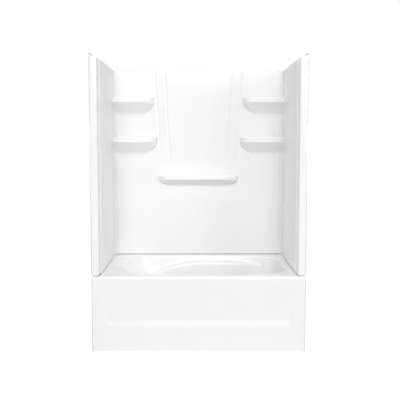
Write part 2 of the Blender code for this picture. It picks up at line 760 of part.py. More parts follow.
def make_shelves(material, collection):
    upper = (UPPER_SHELF_TIP, UPPER_SHELF_TOP, SHELF_LIP, SHELF_SWEEP)
    lower = (LOWER_SHELF_TIP, LOWER_SHELF_TOP, SHELF_LIP, SHELF_SWEEP)
    for side, word in ((-1, "left"), (1, "right")):
        make_shelf(f"upper_{word}_shelf", corner_outline, upper, side, material, collection)
        make_shelf(f"lower_{word}_shelf", corner_outline, lower, side, material, collection)
    soap = (SOAP_SHELF_HALF, SOAP_SHELF_TOP, SOAP_SHELF_LIP, SOAP_SHELF_SWEEP)
    make_shelf("soap_shelf", soap_outline, soap, 1, material, collection)


# Seals


def make_seals(material, collection):
    low = TUB_HEIGHT + GAP
    high = low + SEAL_THICKNESS
    back_y = WALL_Y + BASE_SEAL_INSET
    back_end = WALL_Y + BOTTOM_RETURN - SEAL_INSET
    box("back_base_gasket", (-SEAM_X, back_y, low), (SEAM_X, back_end, high), material, collection)
    start_y = FRONT + COLUMN_RADIUS
    end_y = WALL_Y - COVE_DEPTH
    lap_y = WALL_Y + WALL_SHEET + GAP
    for side, word in ((-1, "left"), (1, "right")):
        near = side * (WALL_X + BASE_SEAL_INSET)
        far = side * (WALL_X + BOTTOM_RETURN)
        box(
            f"{word}_base_gasket",
            (min(near, far), start_y, low),
            (max(near, far), end_y, high),
            material,
            collection,
        )
        near = side * (SEAM_X + GAP)
        far = side * (SEAM_X + LIP_WIDTH - SEAL_INSET)
        box(
            f"{word}_corner_gasket",
            (min(near, far), lap_y, WALL_BOTTOM + SEAL_THICKNESS),
            (max(near, far), lap_y + SEAL_THICKNESS, PANEL_TOP - TOP_EDGE_RADIUS),
            material,
            collection,
        )


# Supports


def make_board(material, collection):
    """The floor board follows the basin's floor, which falls towards the drain."""
    top = FLOOR_HEIGHT - TUB_SHEET - GAP
    low = (BOARD_LEFT, BASIN_Y - BOARD_HALF_DEPTH, top - BOARD_THICKNESS)
    high = (BOARD_RIGHT, BASIN_Y + BOARD_HALF_DEPTH, top)
    board = box("basin_floor_board", low, high, material, collection)
    for vert in board.data.vertices:
        if vert.co.z > top - GAP:
            vert.co.z += floor_drop(vert.co.x)
    return top - BOARD_THICKNESS


def make_rail(name, x, top, material, collection, cutters):
    low = (x - RAIL_WIDTH / 2, BASIN_Y - RAIL_HALF_DEPTH, FOOT_COLLAR_TOP)
    high = (x + RAIL_WIDTH / 2, BASIN_Y + RAIL_HALF_DEPTH, top)
    rail = box(name, low, high, material, collection, WOOD_EDGE)
    for side in (-1, 1):
        y = BASIN_Y + side * (RAIL_HALF_DEPTH - FOOT_INSET)
        length = 2 * FOOT_HOLE_DEPTH
        centre = (x, y, FOOT_COLLAR_TOP)
        cut(rail, cylinder(f"{name}_hole", FOOT_STUD_RADIUS + GAP, length, centre, False, cutters))


def make_foot(name, x, y, material, collection):
    """A levelling foot, turned from its stud's top down to its pad."""
    collar_top = FOOT_COLLAR_TOP - GAP
    profile = [
        (0.0, FOOT_STUD_TOP),
        (FOOT_STUD_RADIUS, FOOT_STUD_TOP),
        (FOOT_STUD_RADIUS, collar_top),
        (FOOT_COLLAR_RADIUS, collar_top),
        (FOOT_COLLAR_RADIUS, FOOT_PAD_HEIGHT),
        (FOOT_PAD_RADIUS - FOOT_PAD_EDGE, FOOT_PAD_HEIGHT),
        (FOOT_PAD_RADIUS, FOOT_PAD_HEIGHT - FOOT_PAD_EDGE),
        (FOOT_PAD_RADIUS, 0.0),
        (0.0, 0.0),
    ]
    bm = bmesh.new()
    verts = [bm.verts.new((radius, 0.0, z)) for radius, z in profile]
    for a, b in zip(verts, verts[1:]):
        bm.edges.new((a, b))
    foot = finish(name, bm, material, collection)
    screw = foot.modifiers.new("turn", "SCREW")
    screw.steps = ROUND_STEPS
    screw.render_steps = ROUND_STEPS
    screw.use_merge_vertices = True
    screw.merge_threshold = 0.00001
    foot.location = (x, y, 0.0)


def make_supports(wood, plastic, steel, collection, cutters):
    board_bottom = make_board(wood, collection)
    rail_top = board_bottom - GAP
    rails = (("left", BOARD_LEFT + RAIL_INSET), ("right", BOARD_RIGHT - RAIL_INSET))
    for word, x in rails:
        make_rail(f"{word}_support_rail", x, rail_top, plastic, collection, cutters)
        for side, place in ((-1, "front"), (1, "rear")):
            y = BASIN_Y + side * (RAIL_HALF_DEPTH - FOOT_INSET)
            make_foot(f"{place}_{word}_foot", x, y, steel, collection)
    top = TUB_HEIGHT - TUB_SHEET - GAP
    half = HALF - STRINGER_END_INSET
    front_y = FRONT + STRINGER_FRONT_INSET
    back_y = BACK - STRINGER_BACK_INSET - STRINGER_WIDTH
    for name, y in (("front_rim_stringer", front_y), ("rear_deck_stringer", back_y)):
        low = (-half, y, top - STRINGER_HEIGHT)
        high = (half, y + STRINGER_WIDTH, top)
        box(name, low, high, wood, collection, WOOD_EDGE)


def main():
    clear_scene()
    parts = bpy.data.collections.new("tub_and_shower_unit")
    cutters = bpy.data.collections.new("cutters")
    bpy.context.scene.collection.children.link(parts)
    bpy.context.scene.collection.children.link(cutters)
    tub_white = make_material("tub_white", WHITE, 0.12)
    wall_white = make_material("wall_white", WHITE, 0.14)
    shelf_white = make_material("shelf_white", WHITE, 0.14)
    seal_grey = make_material("seal_grey", (0.30, 0.30, 0.30), 0.6)
    wood = make_material("support_wood", (0.62, 0.46, 0.29), 0.7)
    plastic = make_material("rail_plastic", (0.20, 0.21, 0.22), 0.5)
    steel = make_material("foot_steel", (0.62, 0.63, 0.64), 0.35, 1.0)
    make_bathtub(tub_white, parts, cutters)
    make_back_wall(wall_white, parts)
    make_end_wall("left_end_wall_panel", -1, wall_white, parts)
    make_end_wall("right_end_wall_panel", 1, wall_white, parts)
    make_shelves(shelf_white, parts)
    make_seals(seal_grey, parts)
    make_supports(wood, plastic, steel, parts, cutters)


main()
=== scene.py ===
import json
import math

import bmesh
import bpy
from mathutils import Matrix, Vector


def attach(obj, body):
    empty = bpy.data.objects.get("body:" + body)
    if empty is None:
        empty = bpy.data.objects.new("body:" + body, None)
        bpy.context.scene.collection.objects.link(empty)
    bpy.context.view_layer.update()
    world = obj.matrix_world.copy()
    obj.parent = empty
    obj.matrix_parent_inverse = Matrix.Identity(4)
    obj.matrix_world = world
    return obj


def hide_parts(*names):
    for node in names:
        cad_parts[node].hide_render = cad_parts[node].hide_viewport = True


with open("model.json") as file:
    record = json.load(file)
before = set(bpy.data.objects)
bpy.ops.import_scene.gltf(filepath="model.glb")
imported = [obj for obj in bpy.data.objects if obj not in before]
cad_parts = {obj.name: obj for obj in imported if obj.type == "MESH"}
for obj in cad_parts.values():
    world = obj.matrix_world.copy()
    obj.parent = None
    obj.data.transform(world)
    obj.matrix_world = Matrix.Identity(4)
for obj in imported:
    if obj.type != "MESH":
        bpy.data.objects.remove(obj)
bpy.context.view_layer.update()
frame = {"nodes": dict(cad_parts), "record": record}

# Sizes in metres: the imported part's, and finer ones where a shape is smoother here than in the solids
WIDTH, DEPTH, HEIGHT = 1.524, 0.762, 2.115
HALF, FRONT, BACK = WIDTH / 2, -DEPTH / 2, DEPTH / 2
TUB_HEIGHT = 0.546
TUB_SHEET = 0.006
NOSE_RADIUS = 0.022
UPSTAND_HEIGHT = 0.025
UPSTAND_FILLET = 0.006
FILLET_MIDDLE = 0.71  # how far out the fillet's middle row lies
UPSTAND_SETBACK = 0.045
APRON_LIFT = 0.008
APRON_FOOT_WIDTH = 0.024
APRON_FOOT_RAMP = 0.004
APRON_RETURN = 0.026
APRON_ROLL_WIDTH, APRON_ROLL = 0.030, 0.0045  # the apron's outer edges bend back
APRON_EDGE = 0.0064  # rounds the apron's outer edges
APRON_LOWER_EDGE = ((0.003, 0.0), (0.0009, 0.0009), (0.0, 0.003))  # its rows: distance back and height
PLINTH_TOP = 0.184
LEDGE_TOP = 0.224
PANEL_FADE_HEIGHT = TUB_HEIGHT - 0.066
PANEL_SINK = 0.0125
LEDGE_ROUNDING, CHAMFER_ROUNDING = 0.010, 0.004
PANEL_END_LOW, PANEL_END_HIGH = 0.090, 0.060
PANEL_CHAMFER_LOW, PANEL_CHAMFER_HIGH = 0.029, 0.018
ROLL_COLUMNS = (0.0, 0.003, 0.007, 0.012, 0.018)  # the mesh's columns, in from the apron's outer edge
CHAMFER_COLUMNS, MIDDLE_START = (0.0015, 0.004, 0.007), 0.016  # and away from the chamfer's two edges
CHAMFER_STEPS = 6

BASIN_LEFT = -HALF + 0.129
BASIN_RIGHT = HALF - 0.101
BASIN_X = (BASIN_LEFT + BASIN_RIGHT) / 2
BASIN_FRONT = FRONT + 0.042
BASIN_BACK = BACK - 0.075
BASIN_Y = (BASIN_FRONT + BASIN_BACK) / 2
BASIN_HALF = (BASIN_BACK - BASIN_FRONT) / 2
LEFT_SQUARENESS, RIGHT_SQUARENESS = 3.1, 4.2
CROWDING = 0.6
RIM_RADIUS = 0.013
FLOOR_FILLET = 0.055
FLOOR_HEIGHT = 0.135
FLOOR_FALL = 0.006
BASIN_DEPTH = TUB_HEIGHT - FLOOR_HEIGHT
BACKREST_RUN, DRAIN_END_RUN, SIDE_RUN = 0.340, 0.105, 0.112
ARMREST_PEAK_X = BASIN_RIGHT - 0.561
ARMREST_DROP, ARMREST_DEEPEST = 0.042, 0.240
ARMREST_LEFT_FALL, ARMREST_LEFT_POWER = 0.350, 2.1
ARMREST_RIGHT_FALL, ARMREST_RIGHT_POWER = 0.170, 2.0
ARMREST_WIDTH, ARMREST_ROOT, ARMREST_CREST, ARMREST_SLOPE = 0.050, 0.015, 0.018, 0.009
ARMREST_START, ARMREST_RISE = BASIN_LEFT + 0.033, 0.150
ARMREST_END, ARMREST_FALL = BASIN_RIGHT - 0.081, 0.240
FLOOR_LEFT = BASIN_LEFT + BACKREST_RUN
FLOOR_RIGHT = BASIN_RIGHT - DRAIN_END_RUN
DRAIN_X = FLOOR_RIGHT - 0.075
FALL_START = DRAIN_X - 0.060
DRAIN_RADIUS, OVERFLOW_RADIUS, OVERFLOW_DROP = 0.026, 0.029, 0.130
DRAIN_CUT, OVERFLOW_CUT = 0.036, 0.072  # lengths of the cutters
WELD_DISTANCE = 0.00001

WALL_SHEET = 0.0045
PANEL_TOP, SHOULDER_TOP = 2.078, 2.098
WALL_X = HALF - 0.063
WALL_SETBACK = 0.027
WALL_Y = BACK - WALL_SETBACK
COLUMN_RADIUS = 0.008
COLUMN_STEP, COLUMN_STEP_PLACE, COLUMN_STEP_RUN = 0.007, 0.080, 0.0035
RISER_STEPS, COLUMN_EDGE_STEPS = 8, 10
OUTER_EDGE, SHEET_EDGE = 0.004, 0.0008  # round the columns' outer edges and the sheet's other ones
EDGE_SHADE_BAND, EDGE_SHADE_FADE = 0.0060, 0.0005  # painted shade along the outer edges, where the surface turns away from the light: its width and its fade
ROLL_WIDTH, ROLL_DEPTH, ROLL_REACH = 0.022, 0.004, 0.030  # the columns' outer edges bend back
LIP_PROUD, LIP_WIDTH = 0.003, 0.0105
LIP_PROFILE = ((0.0045, 1.0), (0.0036, 0.88), (0.0020, 0.40), (0.0008, 0.08), (0.0002, 0.0))
COVE_WIDTH, COVE_STRIP, COVE_TURN, COVE_DEPTH, COVE_LEAD = 0.0130, 0.0060, 0.004, 0.040, 0.006
BOTTOM_RETURN = 0.017
GAP = 0.0003
SEAL = 0.003
JOINT = 0.0026  # the dark joint between the wall panels and the gaskets under them
WALL_BOTTOM = TUB_HEIGHT + SEAL + 2 * GAP + JOINT
SEAM_X = WALL_X - COVE_WIDTH - LIP_WIDTH
TONGUE_WIDTH, TONGUE_STEP = 0.023, WALL_SHEET + SEAL + 2 * GAP
TOP_EDGE_RADIUS, TOP_LEDGE = 0.005, 0.010
TOP_LEAD, TOP_MARGIN = 0.002, 0.008  # from the top edge down to the rows below it
PLAIN_LEVELS = (0.75, 0.95)

RELIEF = 0.005
FLUTE_TOP_OUTER, FLUTE_TOP_INNER = 0.366, 0.281
FLUTE_LOW_OUTER, FLUTE_LOW_INNER = 0.290, 0.218
FLUTE_FADE, FLUTE_CURVE_SHARE = 0.220, 0.70
FLUTE_START, FLUTE_SPAN, FLUTE_ROUNDING = -0.15, 1.31, 0.03  # shares of a sloping band's width
FLUTE_MARGIN, FLUTE_ROW_POWER = 0.014, 1.3
FLUTE_PROFILE = ((-0.10, 0.0), (0.0, -0.85), (0.10, 0.10), (0.88, 0.95), (1.0, 0.0), (1.12, 1.0))

SHELF_DEPTH, SHELF_LIP, SHELF_SWEEP = 0.085, 0.044, 0.103
SHELF_EDGE, SHELF_FILLET, SHELF_FOOT = 0.004, 0.009, 0.0012
GROOVE_STEPS, GROOVE_HALF, UPPER_GROOVE, LOWER_GROOVE, SOAP_GROOVE = 6, 0.0026, 0.00045, 0.0018, 0.0009
SHELF_TIP_SHRINK, SHELF_TIP_SHARE, FOOT_EASE = 0.093, 0.88, 0.32
TIP_EASE, TIP_EASE_MOST, TIP_FALL_POWER = 1.6, 0.8, 1.15
FILLET_LIMIT, FILLET_FLARE = 0.9, 0.7  # shares of the room behind the tip, and of the fillet
SHELF_SINK = 0.001  # how far a shelf reaches into the wall that it is bonded to
TRAY_RIM, TRAY_ROUND, TRAY_ROUND_DROP = 0.007, 0.002, 0.0012  # the rim round a shelf's sunk top
TRAY_RUN, TRAY_DROP = 0.003, 0.0018
UPPER_TOP, UPPER_TIP = 1.856, 0.366
LOWER_TOP, LOWER_TIP = 1.531, 0.344
SOAP_TOP, SOAP_HALF, SOAP_LIP, SOAP_SWEEP, SOAP_TIP_SHRINK = 1.212, 0.328, 0.030, 0.060, 0.072

LONG_SIDE, SHORT_SIDE = 88, 44  # steps round the basin, along its front or back and along an end
BACK_START = LONG_SIDE + SHORT_SIDE
LEFT_START = BACK_START + LONG_SIDE
RING = LEFT_START + SHORT_SIDE
RIM_STEPS, FILLET_STEPS, ARC_STEPS, WALL_STEPS = 8, 9, 6, 5  # steps down the basin's wall
SHARP_ANGLE = math.radians(40)


# Mesh helpers


def mix(a, b, share):
    return a + (b - a) * share


def smooth_step(value, start, end):
    share = min(max((value - start) / (end - start), 0.0), 1.0)
    return share * share * (3 - 2 * share)


def interpolate(value, knots):
    """Straight lines between knots, which are (place, height) in order of place."""
    if value <= knots[0][0]:
        return knots[0][1]
    for (a, low), (b, high) in zip(knots, knots[1:]):
        if value <= b:
            return mix(low, high, (value - a) / (b - a))
    return knots[-1][1]


def rounded(value, knots, radius):
    """The same line with its corners rounded off over radius to either side."""
    shares = (-0.93, -0.7, -0.47, -0.23, 0.0, 0.23, 0.47, 0.7, 0.93)
    return sum(interpolate(value + radius * share, knots) for share in shares) / len(shares)


def quarter(steps, first=0):
    """Angles of a quarter turn, from step first to step steps."""
    return [math.pi / 2 * k / steps for k in range(first, steps + 1)]


class Surface:
    """Collects rows of points and the faces between them, then makes an object of them."""

    def __init__(self):
        self.points = []
        self.faces = []

    def row(self, points):
        first = len(self.points)
        self.points.extend(tuple(p) for p in points)
        return list(range(first, len(self.points)))

    def bridge(self, low, high, closed=False):
        count = len(low)
        for i in range(count if closed else count - 1):
            j = (i + 1) % count
            self.faces.append((low[i], low[j], high[j], high[i]))

    def face(self, row):
        self.faces.append(tuple(row))

    def flip(self):
        self.faces = [tuple(reversed(f)) for f in self.faces]

    def make(self, name, materials):
        mesh = bpy.data.meshes.new(name)
        mesh.from_pydata(self.points, [], self.faces)
        mesh.update()
        item = bpy.data.objects.new(name, mesh)
        bpy.context.scene.collection.objects.link(item)
        for material in materials:
            mesh.materials.append(material)
        mesh.shade_smooth()
        mesh.set_sharp_from_angle(angle=SHARP_ANGLE)
        return item


def thicken(item, thickness):
    """Gives a surface its thickness. Its back gets the second material."""
    solid = item.modifiers.new("sheet", "SOLIDIFY")
    solid.thickness = thickness
    solid.offset = -1
    solid.use_even_offset = True
    solid.material_offset = 1


def soften(item, width):
    """Rounds off all edges that turn by more than 50 degrees."""
    bevel = item.modifiers.new("edges", "BEVEL")
    bevel.width = width
    bevel.segments = 3
    bevel.limit_method = "ANGLE"
    bevel.angle_limit = math.radians(50)
    bevel.harden_normals = True


def apply_modifiers(item):
    """Turns an object's modifiers into its mesh."""
    bpy.context.view_layer.update()
    graph = bpy.context.evaluated_depsgraph_get()
    mesh = bpy.data.meshes.new_from_object(item.evaluated_get(graph), depsgraph=graph)
    old = item.data
    item.modifiers.clear()
    item.data = mesh
    mesh.name = item.name
    bpy.data.meshes.remove(old)


def round_edges(item, width, chosen):
    """Rounds off the edges whose two ends are both chosen."""
    mesh = item.data
    weights = mesh.attributes.new("bevel_weight_edge", "FLOAT", "EDGE")
    for edge in mesh.edges:
        if all(chosen(mesh.vertices[v].co) for v in edge.vertices):
            weights.data[edge.index].value = 1.0
    bevel = item.modifiers.new("round", "BEVEL")
    bevel.width = width
    bevel.segments = 5
    bevel.limit_method = "WEIGHT"


def place(item, node):
    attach(item, "root")
    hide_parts(node)


# Bathtub


def wall_angle(run, depth):
    """Tilt from upright of a basin wall whose two round ends and straight part span run and depth."""
    rounds = RIM_RADIUS + FLOOR_FILLET
    low, high = 0.0, math.radians(80)
    for _ in range(60):
        tilt = (low + high) / 2
        straight = (depth - rounds * (1 - math.sin(tilt))) / math.cos(tilt)
        if rounds * math.cos(tilt) + straight * math.sin(tilt) < run:
            low = tilt
        else:
            high = tilt
    return (low + high) / 2


def wall_profile(run, depth):
    """Points (inset from the rim, depth below the deck) down a plain basin wall."""
    turn = math.pi / 2 - wall_angle(run, depth)
    rim, fillet = [], []
    for k in range(RIM_STEPS + 1):
        angle = turn * k / RIM_STEPS
        rim.append((RIM_RADIUS * math.sin(angle), RIM_RADIUS * (1 - math.cos(angle))))
    for k in range(FILLET_STEPS, -1, -1):
        angle = turn * k / FILLET_STEPS
        fillet.append((run - FLOOR_FILLET * math.sin(angle), depth - FLOOR_FILLET * (1 - math.cos(angle))))
    count = 2 * ARC_STEPS + WALL_STEPS
    top, foot = rim[-1], fillet[0]
    shares = [(k + 1) / (count + 1) for k in range(count)]
    return rim + [(mix(top[0], foot[0], s), mix(top[1], foot[1], s)) for s in shares] + fillet


def armrest_drop(x):
    """Depth of an armrest's top below the deck."""
    away = abs(x - ARMREST_PEAK_X)
    fall = ARMREST_RIGHT_FALL * away**ARMREST_RIGHT_POWER
    if x < ARMREST_PEAK_X:
        fall = ARMREST_LEFT_FALL * away**ARMREST_LEFT_POWER
    return min(ARMREST_DROP + fall, ARMREST_DEEPEST)


def armrest_share(x):
    """How fully the armrest stands out at a place along the tub, from 0 to 1."""
    rise = smooth_step(x, ARMREST_START, ARMREST_START + ARMREST_RISE)
    return rise * (1 - smooth_step(x, ARMREST_END - ARMREST_FALL, ARMREST_END))


def armrest_profile(plain, drop):
    """As many points as a plain wall's, down a wall that carries an armrest."""
    top, foot = plain[RIM_STEPS], plain[-FILLET_STEPS - 1]
    root = top[0] + ARMREST_ROOT / 2
    crest = root + ARMREST_WIDTH
    tilt = math.atan2(ARMREST_SLOPE, ARMREST_WIDTH - ARMREST_ROOT / 2)
    edge = crest + ARMREST_CREST * (1 - math.sin(tilt))
    ledge = []
    for angle in quarter(ARC_STEPS - 1):
        inset = root + ARMREST_ROOT * (1 - math.cos(angle))
        ledge.append((inset, drop - ARMREST_SLOPE - ARMREST_ROOT * (1 - math.sin(angle))))
    for k in range(ARC_STEPS):
        angle = mix(tilt, math.pi / 2, k / (ARC_STEPS - 1))
        inset = crest + ARMREST_CREST * (math.sin(angle) - math.sin(tilt))
        ledge.append((inset, drop + ARMREST_CREST * (math.cos(tilt) - math.cos(angle))))
    low = (max(edge, foot[0]), foot[1])
    for k in range(1, WALL_STEPS + 1):
        share = k / (WALL_STEPS + 1)
        ledge.append((mix(edge, low[0], share), mix(drop + ARMREST_CREST * math.cos(tilt), low[1], share)))
    points = plain[: RIM_STEPS + 1]
    for inset, down in ledge:
        share = (down - top[1]) / (foot[1] - top[1])
        points.append((max(inset, mix(top[0], foot[0], share)), down))
    return points + [(max(inset, edge), down) for inset, down in plain[-FILLET_STEPS - 1 :]]


def floor_rise(x):
    """How far the basin's floor lies above its lowest place, by the drain."""
    return FLOOR_FALL * max(FALL_START - x, 0.0) / (FALL_START - FLOOR_LEFT)


def crowded(step, steps):
    """A place from -1 to 1, with the steps closer together towards both ends."""
    even = 2 * step / steps - 1
    return mix(even, math.sin(math.pi / 2 * even), CROWDING)


def bow(share, power):
    """The other coordinate of a superellipse."""
    return (1 - abs(share) ** power) ** (1 / power)


def ring_places():
    """Places round the basin, from the front left corner round by the front: shares of its half length
    and of its half depth, and how far round towards an end each lies, from 0 to 1."""
    left_corner = (BASIN_LEFT - BASIN_X) * 0.5 ** (1 / LEFT_SQUARENESS)
    right_corner = (BASIN_RIGHT - BASIN_X) * 0.5 ** (1 / RIGHT_SQUARENESS)
    side = []
    for k in range(LONG_SIDE + 1):
        x = mix(left_corner, right_corner, (crowded(k, LONG_SIDE) + 1) / 2)
        along = x / (BASIN_X - BASIN_LEFT) if x < 0 else x / (BASIN_RIGHT - BASIN_X)
        power = LEFT_SQUARENESS if x < 0 else RIGHT_SQUARENESS
        side.append((along, bow(along, power), abs(along) ** power))
    places = [(along, -across, share) for along, across, share in side[:-1]]
    for k in range(SHORT_SIDE):
        across = crowded(k, SHORT_SIDE) * 0.5 ** (1 / RIGHT_SQUARENESS)
        places.append((bow(across, RIGHT_SQUARENESS), across, 1 - abs(across) ** RIGHT_SQUARENESS))
    places += reversed(side[1:])
    for k in range(SHORT_SIDE):
        across = -crowded(k, SHORT_SIDE) * 0.5 ** (1 / LEFT_SQUARENESS)
        places.append((-bow(across, LEFT_SQUARENESS), across, 1 - abs(across) ** LEFT_SQUARENESS))
    return places


def matched(wall, profile):
    """A plain wall's own points at its two rounds, and between them points at the profile's depths."""
    top, foot = wall[RIM_STEPS], wall[-FILLET_STEPS - 1]
    points = []
    for k, (_, down) in enumerate(profile):
        if RIM_STEPS < k < len(wall) - FILLET_STEPS - 1:
            points.append((mix(top[0], foot[0], (down - top[1]) / (foot[1] - top[1])), down))
        else:
            points.append(wall[k])
    return points


def basin_rings():
    left_wall = wall_profile(BACKREST_RUN, BASIN_DEPTH)
    right_wall = wall_profile(DRAIN_END_RUN, BASIN_DEPTH)
    side_wall = wall_profile(SIDE_RUN, BASIN_DEPTH)
    columns = []
    for along, across, towards_end in ring_places():
        end_wall = left_wall if along < 0 else right_wall
        reach = BASIN_X - BASIN_LEFT if along < 0 else BASIN_RIGHT - BASIN_X
        rim_x = BASIN_X + along * reach
        profile = armrest_profile(side_wall, armrest_drop(rim_x))
        arm = armrest_share(rim_x) * (1 - towards_end)
        column = []
        rows = zip(matched(side_wall, profile), matched(end_wall, profile), profile)
        for (side_inset, side_down), (end_inset, end_down), (arm_inset, _) in rows:
            x = BASIN_X + along * (reach - end_inset)
            half_depth = BASIN_HALF - mix(side_inset, arm_inset, arm)
            down = mix(side_down, end_down, towards_end)
            rise = floor_rise(x) * down / BASIN_DEPTH
            column.append((x, BASIN_Y + across * half_depth, TUB_HEIGHT - down + rise))
        columns.append(column)
    return [list(ring) for ring in zip(*columns)]


def panel_edges(z):
    """X at a height of the two edges of the chamfer that ends the sunk panel: outer, inner."""
    share = min(max((z - LEDGE_TOP) / (PANEL_FADE_HEIGHT - LEDGE_TOP), 0.0), 1.0)
    outer = HALF - mix(PANEL_END_LOW, PANEL_END_HIGH, share)
    return outer, outer - mix(PANEL_CHAMFER_LOW, PANEL_CHAMFER_HIGH, share)


def apron_columns(z):
    """X of the apron's columns at a height: close together at the feet and round the sunk panel's edges."""
    outer, inner = panel_edges(z)
    foot = HALF - APRON_FOOT_WIDTH
    near = CHAMFER_COLUMNS[0]
    left = [-HALF + inset for inset in ROLL_COLUMNS] + [-foot, -foot + APRON_FOOT_RAMP]
    left += [-outer - step for step in reversed(CHAMFER_COLUMNS)]
    left += [mix(-outer + near, -inner - near, k / CHAMFER_STEPS) for k in range(CHAMFER_STEPS + 1)]
    left += [-inner + step for step in CHAMFER_COLUMNS]
    steps = LONG_SIDE + 1 - 2 * len(left)
    start = -inner + MIDDLE_START
    middle = [mix(start, -start, k / (steps - 1)) for k in range(steps)]
    return left + middle + [-x for x in reversed(left)]


def apron_roll(x):
    """How far the apron's outer edges bend back."""
    return APRON_ROLL * (max(abs(x) - HALF + APRON_ROLL_WIDTH, 0.0) / APRON_ROLL_WIDTH) ** 3


def apron_depth(x, z):
    """How far the apron's face is sunk behind its front plane."""
    outer, inner = panel_edges(z)
    across = rounded(abs(x), ((inner, 1.0), (outer, 0.0)), CHAMFER_ROUNDING)
    sink = rounded(z, ((PLINTH_TOP, 0.0), (LEDGE_TOP, PANEL_SINK), (PANEL_FADE_HEIGHT, 0.0)), LEDGE_ROUNDING)
    return across * sink


# Heights of the apron's rows, close together at the ledge and at the sunk panel's upper end
PLINTH_LEVELS = (0.012, 0.030, 0.060, 0.095, 0.130, 0.155, 0.170)
LEDGE_LEVELS = (0.176, 0.179, 0.182, 0.185, 0.188, 0.191, 0.196, 0.202, 0.208, 0.214, 0.217)
LEDGE_LEVELS += (0.220, 0.223, 0.226, 0.229, 0.232, 0.238)
SUNK_LEVELS = (0.252, 0.272, 0.300, 0.330, 0.360, 0.390, 0.420, 0.445)
NOSE_LEVELS = (0.462, 0.470, 0.476, 0.482, 0.490, 0.500, 0.512)
APRON_LEVELS = PLINTH_LEVELS + LEDGE_LEVELS + SUNK_LEVELS + NOSE_LEVELS


def apron_rows():
    foot_edge = HALF - APRON_FOOT_WIDTH

    def lift(x):
        return APRON_LIFT * min(max((foot_edge - abs(x)) / APRON_FOOT_RAMP, 0.0), 1.0)

    xs = apron_columns(0.0)
    rows = [[(x, FRONT + APRON_RETURN, lift(x)) for x in xs]]
    for back, up in APRON_LOWER_EDGE:
        rows.append([(x, FRONT + back + apron_roll(x), lift(x) + up) for x in xs])
    for z in APRON_LEVELS:
        xs = apron_columns(z)
        rows.append([(x, FRONT + apron_depth(x, z) + apron_roll(x), z) for x in xs])
    edge_inset = TUB_SHEET + UPSTAND_FILLET
    xs = apron_columns(TUB_HEIGHT)
    for turn in quarter(12)[:-1]:
        inset = 1 - math.cos(turn)
        shrink = (HALF - edge_inset * inset) / HALF
        y = FRONT + NOSE_RADIUS * inset
        z = TUB_HEIGHT - NOSE_RADIUS + NOSE_RADIUS * math.sin(turn)
        rows.append([(x * shrink, y + apron_roll(x) * math.cos(turn), z) for x in xs])
    return rows


def deck_loop(ring):
    """The deck's outer edge: its front follows the apron, its other sides follow the basin's edge."""
    edge_x = HALF - TUB_SHEET - UPSTAND_FILLET
    edge_y = BACK - TUB_SHEET - UPSTAND_FILLET
    nose_y = FRONT + NOSE_RADIUS
    loop = [(x * edge_x / HALF, nose_y, TUB_HEIGHT) for x in apron_columns(TUB_HEIGHT)[:-1]]

    def shares(first, last, axis):
        start, end = ring[first][axis], ring[last % RING][axis]
        return [(point[axis] - start) / (end - start) for point in ring[first:last]]

    loop += [(edge_x, mix(nose_y, edge_y, share), TUB_HEIGHT) for share in shares(LONG_SIDE, BACK_START, 1)]
    loop += [(mix(edge_x, -edge_x, share), edge_y, TUB_HEIGHT) for share in shares(BACK_START, LEFT_START, 0)]
    loop += [(-edge_x, mix(edge_y, nose_y, share), TUB_HEIGHT) for share in shares(LEFT_START, RING, 1)]
    return loop


def upstand_rows(loop):
    """The upstand's rows, top first, along the right side, the back and the left side."""
    chain = [loop[i % RING] for i in range(LONG_SIDE, RING + 1)]
    start_y = FRONT + UPSTAND_SETBACK
    flat_x, flat_y = HALF - TUB_SHEET - UPSTAND_FILLET, BACK - TUB_SHEET - UPSTAND_FILLET
    middle = (FILLET_MIDDLE, (1 - FILLET_MIDDLE) * UPSTAND_FILLET)
    rows = []
    for reach, rise in ((1.0, UPSTAND_HEIGHT), (1.0, UPSTAND_FILLET), middle):
        row = []
        for x, y, _ in chain:
            away = UPSTAND_FILLET * reach
            new_x = math.copysign(flat_x + away, x) if abs(x) > flat_x - GAP else x
            new_y = flat_y + away if y > flat_y - GAP else max(y, start_y)
            row.append((new_x, new_y, TUB_HEIGHT + rise))
        rows.append(row)
    return rows


def round_cutter(name, radius, length, centre, along_x):
    """A closed cylinder, upright or along X."""
    surface = Surface()
    steps = 96
    ends = []
    for side in (-0.5, 0.5):
        circle = []
        for k in range(steps):
            angle = 2 * math.pi * k / steps
            a, b, c = radius * math.cos(angle), radius * math.sin(angle), length * side
            circle.append((c, a, b) if along_x else (a, b, c))
        ends.append(surface.row([tuple(p + q for p, q in zip(point, centre)) for point in circle]))
    surface.bridge(ends[0], ends[1], closed=True)
    surface.face(reversed(ends[0]))
    surface.face(ends[1])
    return surface.make(name, [])


def cut_round(item, cutters):
    """Cuts the cutters out of an object and removes them."""
    for cutter in cutters:
        boolean = item.modifiers.new("cut", "BOOLEAN")
        boolean.operation = "DIFFERENCE"
        boolean.solver = "EXACT"
        boolean.object = cutter
    apply_modifiers(item)
    for cutter in cutters:
        mesh = cutter.data
        bpy.data.objects.remove(cutter)
        bpy.data.meshes.remove(mesh)


